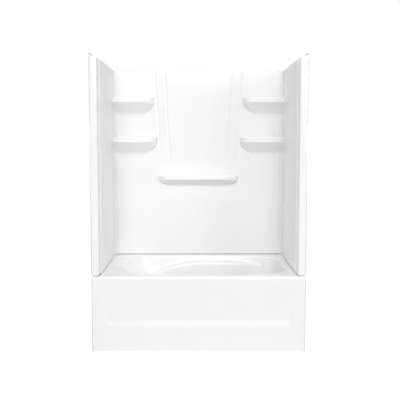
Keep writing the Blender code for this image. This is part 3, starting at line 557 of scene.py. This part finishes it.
def make_bathtub(materials):
    surface = Surface()
    rings = basin_rings()
    basin = [surface.row(ring) for ring in rings]
    deck = surface.row(deck_loop(rings[0]))
    for low, high in zip([deck] + basin, basin):
        surface.bridge(low, high, closed=True)
    floor = basin[-1]
    surface.bridge(floor[: LONG_SIDE + 1], list(reversed(floor[BACK_START : LEFT_START + 1])))
    surface.face(floor[LONG_SIDE : BACK_START + 1])
    surface.face(floor[LEFT_START:] + floor[:1])
    apron = [surface.row(row) for row in apron_rows()]
    for low, high in zip(apron, apron[1:] + [deck[: LONG_SIDE + 1]]):
        surface.bridge(low, high)
    upstand = [surface.row(row) for row in upstand_rows(deck_loop(rings[0]))]
    chain = [deck[i % RING] for i in range(LONG_SIDE, RING + 1)]
    for low, high in zip(upstand, upstand[1:] + [chain]):
        surface.bridge(low, high)
    tub = surface.make("bathtub_shell", materials)
    weld = tub.modifiers.new("weld", "WELD")
    weld.merge_threshold = WELD_DISTANCE
    thicken(tub, TUB_SHEET)
    tilt = wall_angle(DRAIN_END_RUN, BASIN_DEPTH)
    overflow_x = BASIN_RIGHT - RIM_RADIUS - (OVERFLOW_DROP - RIM_RADIUS) * math.tan(tilt)
    drain = round_cutter("drain_cutter", DRAIN_RADIUS, DRAIN_CUT, (DRAIN_X, BASIN_Y, FLOOR_HEIGHT), False)
    centre = (overflow_x, BASIN_Y, TUB_HEIGHT - OVERFLOW_DROP)
    overflow = round_cutter("overflow_cutter", OVERFLOW_RADIUS, OVERFLOW_CUT, centre, True)
    cut_round(tub, [drain, overflow])
    round_edges(tub, APRON_EDGE, lambda co: abs(co.x) > HALF - GAP and co.y < FRONT + APRON_ROLL + GAP)
    apply_modifiers(tub)
    tub.data.set_sharp_from_angle(angle=SHARP_ANGLE)
    place(tub, "bathtub")


# Wall panels


def cove_curve():
    """Points (inset from the wall's face, distance in front of the back wall) along the back corner."""
    steps = 22
    bends = ((0.0, COVE_DEPTH), (COVE_STRIP, COVE_TURN), (COVE_WIDTH, LIP_PROUD))
    points = [(0.0, COVE_DEPTH + COVE_LEAD)]
    for k in range(steps + 1):
        share = k / steps
        weights = ((1 - share) ** 2, 2 * share * (1 - share), share * share)
        points.append(tuple(sum(w * bend[i] for w, bend in zip(weights, bends)) for i in range(2)))
    return points


COVE = cove_curve()
COVE_KNOTS = tuple((away, inset) for inset, away in reversed(COVE))


def cove_points():
    """Plan points of the right end wall's back corner, from its face to its lip over the back wall."""
    points = [(WALL_X - inset, WALL_Y - away) for inset, away in COVE]
    for x, proud in LIP_PROFILE:
        points.append((SEAM_X + x, WALL_Y - LIP_PROUD * proud))
    return points


def side_face_x(y):
    """X of the right end wall's face at a given Y."""
    return WALL_X - interpolate(WALL_Y - y, COVE_KNOTS)


def roll_column(item):
    """Rolls the outer edge of an end wall's column back a little."""
    mesh = bmesh.new()
    mesh.from_mesh(item.data)
    start = HALF - ROLL_WIDTH
    for share in (0.0, 0.2, 0.4, 0.6, 0.8):
        for side in (-1, 1):
            everything = mesh.verts[:] + mesh.edges[:] + mesh.faces[:]
            plane = (side * mix(start, HALF, share), 0.0, 0.0)
            bmesh.ops.bisect_plane(mesh, geom=everything, plane_co=plane, plane_no=(1.0, 0.0, 0.0))
    for vert in mesh.verts:
        outward = max(abs(vert.co.x) - start, 0.0) / ROLL_WIDTH
        near = 1 - smooth_step(vert.co.y, FRONT + WALL_SHEET, FRONT + ROLL_REACH)
        vert.co.y += ROLL_DEPTH * outward * outward * near
    mesh.to_mesh(item.data)
    mesh.free()


def end_wall_plan():
    """Plan of the right end wall's face from back to front: cove, small step, edge of the column."""
    plan = list(reversed(cove_points()))
    for k in range(RISER_STEPS + 1):
        share = k / RISER_STEPS
        y = FRONT + COLUMN_STEP_PLACE + COLUMN_STEP_RUN * (1 - share)
        plan.append((WALL_X + COLUMN_STEP * smooth_step(share, 0.0, 1.0), y))
    for turn in quarter(COLUMN_EDGE_STEPS):
        x = WALL_X + COLUMN_STEP + COLUMN_RADIUS * (1 - math.cos(turn))
        plan.append((x, FRONT + COLUMN_RADIUS * (1 - math.sin(turn))))
    return plan


def make_end_wall(name, node, side, materials):
    surface = Surface()
    flange_x = HALF - WALL_SHEET
    slope = (SHOULDER_TOP - PANEL_TOP) / (flange_x - WALL_X)
    plan = end_wall_plan()

    def top_of(x):
        return PANEL_TOP + slope * max(x - WALL_X, 0.0)

    rows = []
    for share in (0.0, 0.25, 0.5, 0.75, 1.0):
        rows.append(surface.row([(side * x, y, mix(WALL_BOTTOM, top_of(x), share)) for x, y in plan]))
    for low, high in zip(rows, rows[1:]):
        surface.bridge(low, high)
    lower, upper = rows[0], rows[-1]
    corner = surface.row([(side * WALL_X, WALL_Y, PANEL_TOP)])[0]
    last = len(LIP_PROFILE) + len(COVE) - 1
    surface.face(upper[len(LIP_PROFILE) + 1 : last + 1] + [corner])
    inner = [corner] + upper[last:]
    spans = [WALL_Y] + [y for _, y in plan[last:]]
    high = surface.row([(side * flange_x, y, SHOULDER_TOP) for y in spans])
    flange = surface.row([(side * flange_x, y, HEIGHT) for y in spans[:-COLUMN_EDGE_STEPS]])
    surface.bridge(inner, high)
    surface.bridge(high[:-COLUMN_EDGE_STEPS], flange)
    outer_low, outer_high = surface.row([(side * HALF, FRONT, WALL_BOTTOM), (side * HALF, FRONT, PANEL_TOP)])
    last_column = [row[-1] for row in rows]
    surface.face([last_column[0], outer_low, outer_high, high[-1]] + list(reversed(last_column[1:])))
    inside = slice(last, -COLUMN_EDGE_STEPS)
    foot = surface.row([(side * (x + BOTTOM_RETURN), y, WALL_BOTTOM) for x, y in plan[inside]])
    surface.bridge(foot, lower[inside])
    if side < 0:
        surface.flip()
    wall = surface.make(name, materials)
    thicken(wall, WALL_SHEET)
    apply_modifiers(wall)
    roll_column(wall)
    round_edges(wall, OUTER_EDGE, lambda co: abs(co.x) > HALF - GAP and co.y < FRONT + ROLL_DEPTH + GAP)
    soften(wall, SHEET_EDGE)
    apply_modifiers(wall)
    place(wall, node)


def flute_edge(z, low, high):
    """X of an edge of the sloping bands at a height."""
    share = max((z - SOAP_TOP) / (PANEL_TOP - SOAP_TOP), 0.0)
    return mix(low, high, share**FLUTE_CURVE_SHARE)


def back_wall_row(z, back, relief):
    """Points of a row of the back wall. back is its distance behind the face at the panel."""
    outer = flute_edge(z, FLUTE_LOW_OUTER, FLUTE_TOP_OUTER)
    inner = flute_edge(z, FLUTE_LOW_INNER, FLUTE_TOP_INNER)
    edge = SEAM_X - GAP
    left = [(-edge - TONGUE_WIDTH, TONGUE_STEP), (-edge, TONGUE_STEP), (-edge + GAP, back)]
    left += [(mix(-edge + GAP, -outer - FLUTE_MARGIN, share), back) for share in (0.25, 0.5, 0.75)]
    steps = 54
    for k in range(steps + 1):
        share = FLUTE_START + FLUTE_SPAN * k / steps
        height = rounded(share, FLUTE_PROFILE, FLUTE_ROUNDING)
        left.append((-mix(outer, inner, share), back - RELIEF * relief * height))
    left += [(mix(-inner + FLUTE_MARGIN, 0.0, share), back - RELIEF * relief) for share in (0.3, 0.65)]
    columns = left + [(0.0, back - RELIEF * relief)] + [(-x, y) for x, y in reversed(left)]
    return [(x, WALL_Y + y, z) for x, y in columns]


def make_back_wall(materials):
    surface = Surface()
    plain = (WALL_BOTTOM, *PLAIN_LEVELS, SOAP_TOP - SOAP_LIP - SOAP_SWEEP, SOAP_TOP - SHELF_EDGE)
    levels = [(z, 0.0, 0.0) for z in plain]
    steps = 40
    for k in range(1, steps + 1):
        z = mix(SOAP_TOP, PANEL_TOP - TOP_EDGE_RADIUS - TOP_MARGIN, (k / steps) ** FLUTE_ROW_POWER)
        levels.append((z, 0.0, smooth_step(z, SOAP_TOP, SOAP_TOP + FLUTE_FADE)))
    levels.append((PANEL_TOP - TOP_EDGE_RADIUS - TOP_LEAD, 0.0, 1.0))
    for turn in quarter(5):
        z = PANEL_TOP - TOP_EDGE_RADIUS * (1 - math.sin(turn))
        levels.append((z, TOP_EDGE_RADIUS * (1 - math.cos(turn)), 1.0))
    face = [surface.row(back_wall_row(z, back, relief)) for z, back, relief in levels]
    for low, high in zip(face, face[1:]):
        surface.bridge(low, high)
    inside = slice(2, -2)
    foot = surface.row(back_wall_row(WALL_BOTTOM, BOTTOM_RETURN, 0.0)[inside])
    surface.bridge(foot, face[0][inside])
    above = face[-1][inside]
    flange = WALL_SETBACK - WALL_SHEET
    for z, back in ((PANEL_TOP, TOP_LEDGE), (SHOULDER_TOP, flange), (HEIGHT, flange)):
        row = surface.row(back_wall_row(z, back, 0.0)[inside])
        surface.bridge(above, row)
        above = row
    wall = surface.make("back_wall", materials)
    thicken(wall, WALL_SHEET)
    apply_modifiers(wall)
    wall.data.set_sharp_from_angle(angle=SHARP_ANGLE)
    place(wall, "back_wall_panel")


# Shelves


def eased(height, ease):
    """Makes a height from 0 to 1 start flat instead of at a slope."""
    if ease == 0:
        return height
    soft = height * height / (2 * ease) if height < ease else height - ease / 2
    return soft / (1 - ease / 2)


def shelf_levels(top, lip, sweep, groove):
    """Levels of a shelf from its foot up: height, share of the full outline, inset of the outline."""
    low = top - lip
    levels = []
    steps = 14
    for k in range(steps, 0, -1):
        share = k / steps
        levels.append((low - sweep * share, eased(1 - share, FOOT_EASE), SHELF_EDGE))
    levels.append((low, 1.0, SHELF_EDGE))
    for turn in quarter(5, 1):
        levels.append((low + SHELF_EDGE * (1 - math.cos(turn)), 1.0, SHELF_EDGE * (1 - math.sin(turn))))
    middle = low + lip / 2
    for k in range(-GROOVE_STEPS, GROOVE_STEPS + 1):
        inset = groove * (0.5 + 0.5 * math.cos(math.pi * k / GROOVE_STEPS))
        levels.append((middle + GROOVE_HALF * k / GROOVE_STEPS, 1.0, inset))
    for turn in quarter(5):
        levels.append((top - SHELF_EDGE * (1 - math.sin(turn)), 1.0, SHELF_EDGE * (1 - math.cos(turn))))
    return levels


def tip_points(tip, front, back, inset, ease):
    """Plan of a shelf's free end, which runs out into the wall more gently where ease is larger."""
    radius = (WALL_Y - GAP - front) * SHELF_TIP_SHARE
    points = []
    for turn in quarter(18):
        height = eased((WALL_Y - front - radius * (1 - math.cos(turn))) / (WALL_Y - front), ease)
        points.append((tip + inset + radius * (1 - math.sin(turn)), WALL_Y - (WALL_Y - front) * height))
    fillet = min(SHELF_FILLET, FILLET_LIMIT * (back - points[-1][1]))
    flare = FILLET_FLARE * fillet if back > WALL_Y else 0.0
    for turn in quarter(6, 1):
        points.append((tip + inset - flare * (1 - math.cos(turn)), back - fillet * (1 - math.sin(turn))))
    return points


def tip_ease(share):
    return min(TIP_EASE * (1 - share), TIP_EASE_MOST)


def tip_fall(share):
    """How far the free end has drawn back at a share of the sweep: slowly at the lip, quickly at the foot."""
    return 1 - math.cos(math.pi / 2 * (1 - share) ** TIP_FALL_POWER)


def shelf_span(share, inset, rim):
    """How far a shelf's outline at one level reaches into the walls, and Y of its front and of its back."""
    sink = SHELF_SINK if rim == 0 else -rim
    return sink, WALL_Y - SHELF_FOOT - (SHELF_DEPTH - SHELF_FOOT) * share + inset * share + rim, WALL_Y + sink


def free_end(tip, shrink, share, inset, rim):
    """Plan of a shelf's left end at one level, from its front to its back."""
    _, front, back = shelf_span(share, inset, rim)
    return tip_points(tip + shrink * tip_fall(share), front, back, inset * share + rim, tip_ease(share))


def corner_outline(tip, shrink, share, inset, rim=0.0):
    """Plan of a right corner shelf at one level, anticlockwise from above."""
    sink, front, back = shelf_span(share, inset, rim)
    ys = [mix(front, back, math.sin(turn)) for turn in quarter(16)]
    return [(side_face_x(y) + sink, y) for y in ys] + list(reversed(free_end(tip, shrink, share, inset, rim)))


def soap_outline(tip, shrink, share, inset, rim=0.0):
    """Plan of the soap shelf at one level, the same way round."""
    free = free_end(-tip, shrink, share, inset, rim)
    return [(-x, y) for x, y in free] + list(reversed(free))


def tray_profile():
    """Points (distance in from the outline, depth below the top) down into a shelf's sunk top."""
    turns = quarter(5, 1)
    edge = [(TRAY_RIM - TRAY_ROUND * (1 - math.sin(a)), TRAY_ROUND_DROP * (1 - math.cos(a))) for a in turns]
    run = [(TRAY_RIM + TRAY_RUN * (1 - math.cos(a)), TRAY_DROP * math.sin(a)) for a in turns]
    return edge + [(inset, TRAY_ROUND_DROP + drop) for inset, drop in run]


def make_shelf(name, node, outline, sizes, side, material):
    tip, shrink, top, lip, sweep, groove = sizes
    surface = Surface()
    loops = []
    for z, share, inset in shelf_levels(top, lip, sweep, groove):
        loops.append([(x, y, z) for x, y in outline(tip, shrink, share, inset)])
    for rim, drop in tray_profile():
        loops.append([(x, y, top - drop) for x, y in outline(tip, shrink, 1.0, SHELF_EDGE, rim)])
    rows = [surface.row([(side * x, y, z) for x, y, z in loop]) for loop in loops]
    for low, high in zip(rows, rows[1:]):
        surface.bridge(low, high, closed=True)
    surface.face(reversed(rows[0]))
    surface.face(rows[-1])
    if side < 0:
        surface.flip()
    place(surface.make(name, [material]), node)


def make_shelves(material):
    upper = (UPPER_TIP, SHELF_TIP_SHRINK, UPPER_TOP, SHELF_LIP, SHELF_SWEEP, UPPER_GROOVE)
    lower = (LOWER_TIP, SHELF_TIP_SHRINK, LOWER_TOP, SHELF_LIP, SHELF_SWEEP, LOWER_GROOVE)
    for side, word in ((-1, "left"), (1, "right")):
        make_shelf(f"shelf_upper_{word}", f"upper_{word}_shelf", corner_outline, upper, side, material)
        make_shelf(f"shelf_lower_{word}", f"lower_{word}_shelf", corner_outline, lower, side, material)
    soap = (SOAP_HALF, SOAP_TIP_SHRINK, SOAP_TOP, SOAP_LIP, SOAP_SWEEP, SOAP_GROOVE)
    make_shelf("shelf_soap", "soap_shelf", soap_outline, soap, 1, material)


# Materials

WHITE = (0.90, 0.90, 0.90)
DARKER, LIGHTER, EDGE_SHADE_TONE = 0.985, 1.008, 0.72  # shares of the white: faint tone change, painted shade on the outer edges
THREAD_HALF_PITCH, COLLAR_TOP, MILLIMETRES = 0.000625, 0.0222, 1000.0  # of the feet


class Nodes:
    """Short names for building a material's nodes."""

    def __init__(self, name, colour, roughness, metallic=0.0):
        self.material = bpy.data.materials.new(name)
        self.material.use_nodes = True
        self.tree = self.material.node_tree
        self.shader = self.tree.nodes["Principled BSDF"]
        self.shader.inputs["Base Color"].default_value = (*colour, 1.0)
        self.shader.inputs["Roughness"].default_value = roughness
        self.shader.inputs["Metallic"].default_value = metallic
        self.coordinates = self.tree.nodes.new("ShaderNodeTexCoord").outputs["Object"]

    def add(self, kind, **inputs):
        node = self.tree.nodes.new(kind)
        for name, value in inputs.items():
            self.feed(node.inputs[name.replace("_", " ")], value)
        return node

    def feed(self, socket, value):
        """Links a socket to another one, or sets it."""
        if isinstance(value, bpy.types.NodeSocket):
            self.tree.links.new(value, socket)
        elif value is not None:
            socket.default_value = value

    def stretched(self, scale):
        mapping = self.add("ShaderNodeMapping", Vector=self.coordinates)
        mapping.inputs["Scale"].default_value = scale
        return mapping.outputs["Vector"]

    def noise(self, scale, detail=2.0, roughness=0.5, vector=None, distortion=0.0):
        where = self.coordinates if vector is None else vector
        node = self.add("ShaderNodeTexNoise", Vector=where, Scale=scale, Detail=detail, Roughness=roughness)
        node.inputs["Distortion"].default_value = distortion
        return node.outputs["Fac"]

    def ramp(self, value, stops):
        node = self.add("ShaderNodeValToRGB", Fac=value)
        elements = node.color_ramp.elements
        while len(elements) < len(stops):
            elements.new(0.5)
        for element, (position, colour) in zip(elements, stops):
            element.position = position
            element.color = (*colour, 1.0)
        return node.outputs["Color"]

    def blend(self, share, first, second):
        node = self.add("ShaderNodeMix")
        node.data_type = "RGBA"
        factor, colour_a, colour_b, result = node.inputs[0], node.inputs[6], node.inputs[7], node.outputs[2]
        self.feed(factor, share)
        self.feed(colour_a, first)
        self.feed(colour_b, second)
        return result

    def range(self, value, low, high, start=0.3, end=0.7):
        node = self.add("ShaderNodeMapRange", Value=value)
        node.inputs["From Min"].default_value = start
        node.inputs["From Max"].default_value = end
        node.inputs["To Min"].default_value = low
        node.inputs["To Max"].default_value = high
        return node.outputs["Result"]

    def math(self, operation, a, b=None):
        node = self.tree.nodes.new("ShaderNodeMath")
        node.operation = operation
        self.feed(node.inputs[0], a)
        self.feed(node.inputs[1], b)
        return node.outputs[0]

    def bump(self, height, distance, strength=1.0, normal=None):
        node = self.add("ShaderNodeBump", Height=height, Strength=strength, Distance=distance)
        self.feed(node.inputs["Normal"], normal)
        return node.outputs["Normal"]

    def surface(self, **inputs):
        for name, value in inputs.items():
            self.feed(self.shader.inputs[name.replace("_", " ")], value)
        return self.material


def acrylic(name, colour, roughness, waviness, coat, edge_shade=False):
    """Glossy moulded acrylic: faint tone change, fine orange peel, slow waves of the mould, rubbed spots, and
    where asked a painted shade band along the outer edges.
    """
    nodes = Nodes(name, colour, roughness)
    tone = nodes.noise(2.2, 3.0, 0.55)
    darker = tuple(c * DARKER for c in colour)
    lighter = tuple(c * LIGHTER for c in colour)
    base = nodes.ramp(tone, [(0.30, darker), (0.70, lighter)])
    # Painted shade: a darker band along the outer vertical edges (X near HALF), standing in for their shading
    # where they turn away from the light
    if edge_shade:
        axes = nodes.add("ShaderNodeSeparateXYZ", Vector=nodes.coordinates)
        out = nodes.math("ABSOLUTE", axes.outputs["X"])
        painted_edge_shade = nodes.range(out, 0.0, 1.0, HALF - EDGE_SHADE_BAND, HALF - EDGE_SHADE_BAND + EDGE_SHADE_FADE)
        base = nodes.blend(painted_edge_shade, base, (*(c * EDGE_SHADE_TONE for c in colour), 1.0))
    rubbed = nodes.noise(14.0, 6.0, 0.62)
    gloss = nodes.range(rubbed, roughness * 0.8, roughness * 1.35, 0.35, 0.7)
    waves = nodes.noise(5.0, 1.0, 0.4)
    peel = nodes.noise(420.0, 2.0, 0.5)
    normal = nodes.bump(waves, waviness)
    normal = nodes.bump(peel, 0.00006, 0.5, normal)
    nodes.surface(Coat_Weight=coat, Coat_Roughness=0.06)
    return nodes.surface(Base_Color=base, Roughness=gloss, Normal=normal)


def fibreglass(name):
    """The sprayed resin and chopped strands on the back of the sheets."""
    nodes = Nodes(name, (0.78, 0.77, 0.70), 0.55)
    strands = nodes.add("ShaderNodeTexVoronoi", Vector=nodes.stretched((70.0, 190.0, 120.0)), Scale=1.0)
    strands.feature = "DISTANCE_TO_EDGE"
    cross = nodes.noise(260.0, 3.0, 0.6, nodes.stretched((1.0, 0.25, 0.6)), 1.5)
    lumps = nodes.noise(22.0, 4.0, 0.6)
    tone = nodes.math("MULTIPLY", strands.outputs["Distance"], cross)
    base = nodes.ramp(tone, [(0.02, (0.66, 0.64, 0.55)), (0.22, (0.80, 0.79, 0.72))])
    gloss = nodes.range(lumps, 0.42, 0.68)
    normal = nodes.bump(cross, 0.0006, 0.8)
    normal = nodes.bump(lumps, 0.003, 0.7, normal)
    return nodes.surface(Base_Color=base, Roughness=gloss, Normal=normal)


def rubber(name):
    nodes = Nodes(name, (0.30, 0.30, 0.30), 0.6)
    grain = nodes.noise(900.0, 3.0, 0.6)
    dust = nodes.noise(30.0, 5.0, 0.6)
    base = nodes.ramp(dust, [(0.35, (0.27, 0.27, 0.27)), (0.7, (0.33, 0.33, 0.33))])
    gloss = nodes.range(dust, 0.5, 0.72)
    return nodes.surface(Base_Color=base, Roughness=gloss, Normal=nodes.bump(grain, 0.0002, 0.6))


def plywood(name):
    """Plywood: long grain on the faces, thin layers on the cut edges."""
    nodes = Nodes(name, (0.62, 0.46, 0.29), 0.7)
    grain = nodes.noise(9.0, 8.0, 0.65, nodes.stretched((1.2, 16.0, 16.0)), 1.2)
    pores = nodes.noise(60.0, 4.0, 0.7, nodes.stretched((0.7, 14.0, 14.0)))
    layers = nodes.add("ShaderNodeTexWave", Vector=nodes.coordinates, Scale=120.0, Distortion=1.5, Detail=2.0)
    layers.bands_direction = "Z"
    tones = [(0.30, (0.44, 0.29, 0.16)), (0.52, (0.60, 0.44, 0.27)), (0.74, (0.72, 0.56, 0.37))]
    face = nodes.ramp(grain, tones)
    edge = nodes.ramp(layers.outputs["Fac"], [(0.2, (0.38, 0.25, 0.14)), (0.8, (0.66, 0.50, 0.32))])
    geometry = nodes.add("ShaderNodeNewGeometry")
    facing = nodes.add("ShaderNodeSeparateXYZ", Vector=geometry.outputs["Normal"])
    flat = nodes.range(nodes.math("ABSOLUTE", facing.outputs["Z"]), 0.0, 1.0, 0.4, 0.8)
    normal = nodes.bump(pores, 0.0005, 0.7)
    base = nodes.blend(flat, edge, face)
    return nodes.surface(Base_Color=base, Roughness=nodes.range(pores, 0.6, 0.82), Normal=normal)


def moulded_plastic(name):
    nodes = Nodes(name, (0.20, 0.21, 0.22), 0.5)
    texture = nodes.noise(700.0, 2.0, 0.5)
    scuffs = nodes.noise(45.0, 7.0, 0.7, nodes.stretched((1.0, 3.0, 1.0)))
    base = nodes.ramp(scuffs, [(0.40, (0.18, 0.19, 0.20)), (0.75, (0.25, 0.26, 0.27))])
    gloss = nodes.range(scuffs, 0.42, 0.62)
    return nodes.surface(Base_Color=base, Roughness=gloss, Normal=nodes.bump(texture, 0.00025, 0.7))


def zinc(name):
    """Zinc plating: a spangled tone, and a thread on the stud above the collar."""
    nodes = Nodes(name, (0.62, 0.63, 0.64), 0.35, 1.0)
    spangle = nodes.add("ShaderNodeTexVoronoi", Vector=nodes.coordinates, Scale=260.0)
    stain = nodes.noise(55.0, 5.0, 0.6)
    base = nodes.ramp(spangle.outputs["Color"], [(0.0, (0.55, 0.56, 0.57)), (1.0, (0.68, 0.69, 0.71))])
    axes = nodes.add("ShaderNodeSeparateXYZ", Vector=nodes.coordinates)
    pitch = nodes.math("PINGPONG", axes.outputs["Z"], THREAD_HALF_PITCH)
    on_stud = nodes.math("GREATER_THAN", axes.outputs["Z"], COLLAR_TOP)
    thread = nodes.math("MULTIPLY", nodes.math("MULTIPLY", pitch, MILLIMETRES), on_stud)
    normal = nodes.bump(thread, 0.001)
    normal = nodes.bump(stain, 0.0001, 0.5, normal)
    return nodes.surface(Base_Color=base, Roughness=nodes.range(stain, 0.28, 0.48), Normal=normal)


def dress_nodes():
    """Gives the CAD nodes that stay their materials."""
    seal, wood, rail, foot = rubber("seal_rubber"), plywood("plywood"), moulded_plastic("rail"), zinc("zinc")
    finishes = {"seal_grey": seal, "support_wood": wood, "rail_plastic": rail, "foot_steel": foot}
    for part in frame["record"]["subparts"]:
        material = finishes.get(part["material_slot"])
        if material is not None:
            item = frame["nodes"][part["node"]]
            for slot in item.material_slots:
                slot.material = material


# Stage, light and camera

FLOOR_GREY, FLOOR_PALE, FLOOR_GLOW = 0.80, 0.26, 0.92
AMBIENT = 0.242
LIGHTS = (  # name, place, target, size, power
    ("key_right", (4.4, -8.8, 5.2), (0.0, 0.0, 1.1), (4.0, 3.2), 24.0),
    ("side_key_right", (6.4, -7.5, 3.6), (0.0, 0.0, 1.2), (2.4, 2.4), 134.0),
    ("front_high", (0.0, -9.4, 6.8), (0.0, 0.0, 1.0), (5.0, 2.8), 402.0),
    ("front_broad", (0.0, -10.0, 5.0), (0.0, 0.0, 1.2), (7.0, 4.0), 188.0),
    ("floor_front", (0.0, -6.0, 0.4), (0.0, 0.0, 1.6), (3.0, 0.5), 4.0),
    ("top", (0.0, -0.6, 7.5), (0.0, 0.0, 0.5), (3.4, 2.2), 58.0),
    ("side_left", (-7.0, -4.2, 2.6), (0.0, 0.0, 1.1), (2.6, 4.4), 47.0),
    ("back_left", (-5.5, 8.0, 1.2), (0.0, 0.0, 1.0), (4.0, 1.8), 230.0),
    ("back_right", (5.5, 8.0, 1.2), (0.0, 0.0, 1.0), (4.0, 1.8), 230.0),
)
PHOTO_WIDTH, FOCAL, SENSOR = 400, 538.16, 36.0  # photo and focal length in pixels, sensor in millimetres
HORIZON_SHIFT = (174.5 - 200.5) / PHOTO_WIDTH
CAMERA_PLACE = (-0.006, -3.7565 - DEPTH / 2, 1.5121)
CAMERA_TURN = (math.pi / 2 - 0.0647, 0.0, -0.004)


def seen_by(tree, *rays):
    """1 for rays of these kinds, 0 for all others."""
    path = tree.nodes.new("ShaderNodeLightPath")
    seen = path.outputs[rays[0]]
    for ray in rays[1:]:
        either = tree.nodes.new("ShaderNodeMath")
        either.operation = "MAXIMUM"
        tree.links.new(seen, either.inputs[0])
        tree.links.new(path.outputs[ray], either.inputs[1])
        seen = either.outputs[0]
    return seen


def grey_shader(tree, kind, level, strength=None):
    """A shader of one grey, set on its own sockets."""
    node = tree.nodes.new(kind)
    node.inputs["Color"].default_value = (level, level, level, 1.0)
    if strength is not None:
        node.inputs["Strength"].default_value = strength
    return node.outputs[0]


def join(tree, kind, *sources):
    """A shader node that is fed by the sources, in order."""
    node = tree.nodes.new(kind)
    for source, socket in zip(sources, node.inputs):
        tree.links.new(source, socket)
    return node.outputs[0]


def make_stage():
    """A white floor that glows for the camera and the gloss, and keeps a soft shadow."""
    surface = Surface()
    reach, steps = 9.0, 12
    places = [mix(-reach, reach, k / steps) for k in range(steps + 1)]
    rows = [surface.row([(x, y, 0.0) for x in places]) for y in places]
    for low, high in zip(rows, rows[1:]):
        surface.bridge(low, high)
    floor_material = bpy.data.materials.new("studio_floor")
    floor_material.use_nodes = True
    tree = floor_material.node_tree
    tree.nodes.remove(tree.nodes["Principled BSDF"])
    seen = seen_by(tree, "Is Camera Ray", "Is Glossy Ray")
    plain = grey_shader(tree, "ShaderNodeBsdfDiffuse", FLOOR_GREY)
    pale = grey_shader(tree, "ShaderNodeBsdfDiffuse", FLOOR_PALE)
    glow = grey_shader(tree, "ShaderNodeEmission", 1.0, FLOOR_GLOW)
    both = join(tree, "ShaderNodeAddShader", pale, glow)
    choice = join(tree, "ShaderNodeMixShader", seen, plain, both)
    tree.links.new(choice, tree.nodes["Material Output"].inputs["Surface"])
    floor = surface.make("studio_floor", [floor_material])


def make_world():
    """White for the camera, the gloss and what is seen through glass, and a plain soft light for the rest."""
    world = bpy.data.worlds.new("studio")
    bpy.context.scene.world = world
    world.use_nodes = True
    tree = world.node_tree
    tree.nodes.clear()
    output = tree.nodes.new("ShaderNodeOutputWorld")
    seen = seen_by(tree, "Is Camera Ray", "Is Glossy Ray", "Is Transmission Ray")
    soft = grey_shader(tree, "ShaderNodeBackground", 1.0, AMBIENT)
    white = grey_shader(tree, "ShaderNodeBackground", 1.0, 1.0)
    choice = join(tree, "ShaderNodeMixShader", seen, soft, white)
    tree.links.new(choice, output.inputs["Surface"])


def make_light(name, place_at, target, size, power):
    data = bpy.data.lights.new(name, "AREA")
    data.shape = "RECTANGLE"
    data.size, data.size_y = size
    data.energy = power
    lamp = bpy.data.objects.new(name, data)
    bpy.context.scene.collection.objects.link(lamp)
    lamp.location = place_at
    lamp.rotation_euler = (Vector(target) - lamp.location).to_track_quat("-Z", "Y").to_euler()


def make_camera():
    data = bpy.data.cameras.new("camera")
    data.sensor_width = SENSOR
    data.sensor_fit = "HORIZONTAL"
    data.lens = FOCAL / PHOTO_WIDTH * SENSOR
    data.shift_y = HORIZON_SHIFT
    camera = bpy.data.objects.new("camera", data)
    bpy.context.scene.collection.objects.link(camera)
    camera.location = CAMERA_PLACE
    camera.rotation_euler = CAMERA_TURN
    bpy.context.scene.camera = camera


raw_back = fibreglass("raw_fibreglass")
tub_acrylic = acrylic("tub_acrylic", WHITE, 0.20, 0.0006, 0.0, True)
wall_acrylic = acrylic("wall_acrylic", WHITE, 0.17, 0.0008, 0.20)
side_acrylic = acrylic("side_acrylic", WHITE, 0.14, 0.0004, 0.20, True)
shelf_acrylic = acrylic("shelf_acrylic", WHITE, 0.14, 0.0005, 0.30)
make_bathtub([tub_acrylic, raw_back])
make_back_wall([wall_acrylic, raw_back])
make_end_wall("left_end_wall", "left_end_wall_panel", -1, [side_acrylic, raw_back])
make_end_wall("right_end_wall", "right_end_wall_panel", 1, [side_acrylic, raw_back])
make_shelves(shelf_acrylic)
dress_nodes()
make_stage()
make_world()
for lamp in LIGHTS:
    make_light(*lamp)
make_camera()
bpy.context.scene.view_settings.view_transform = "Standard"
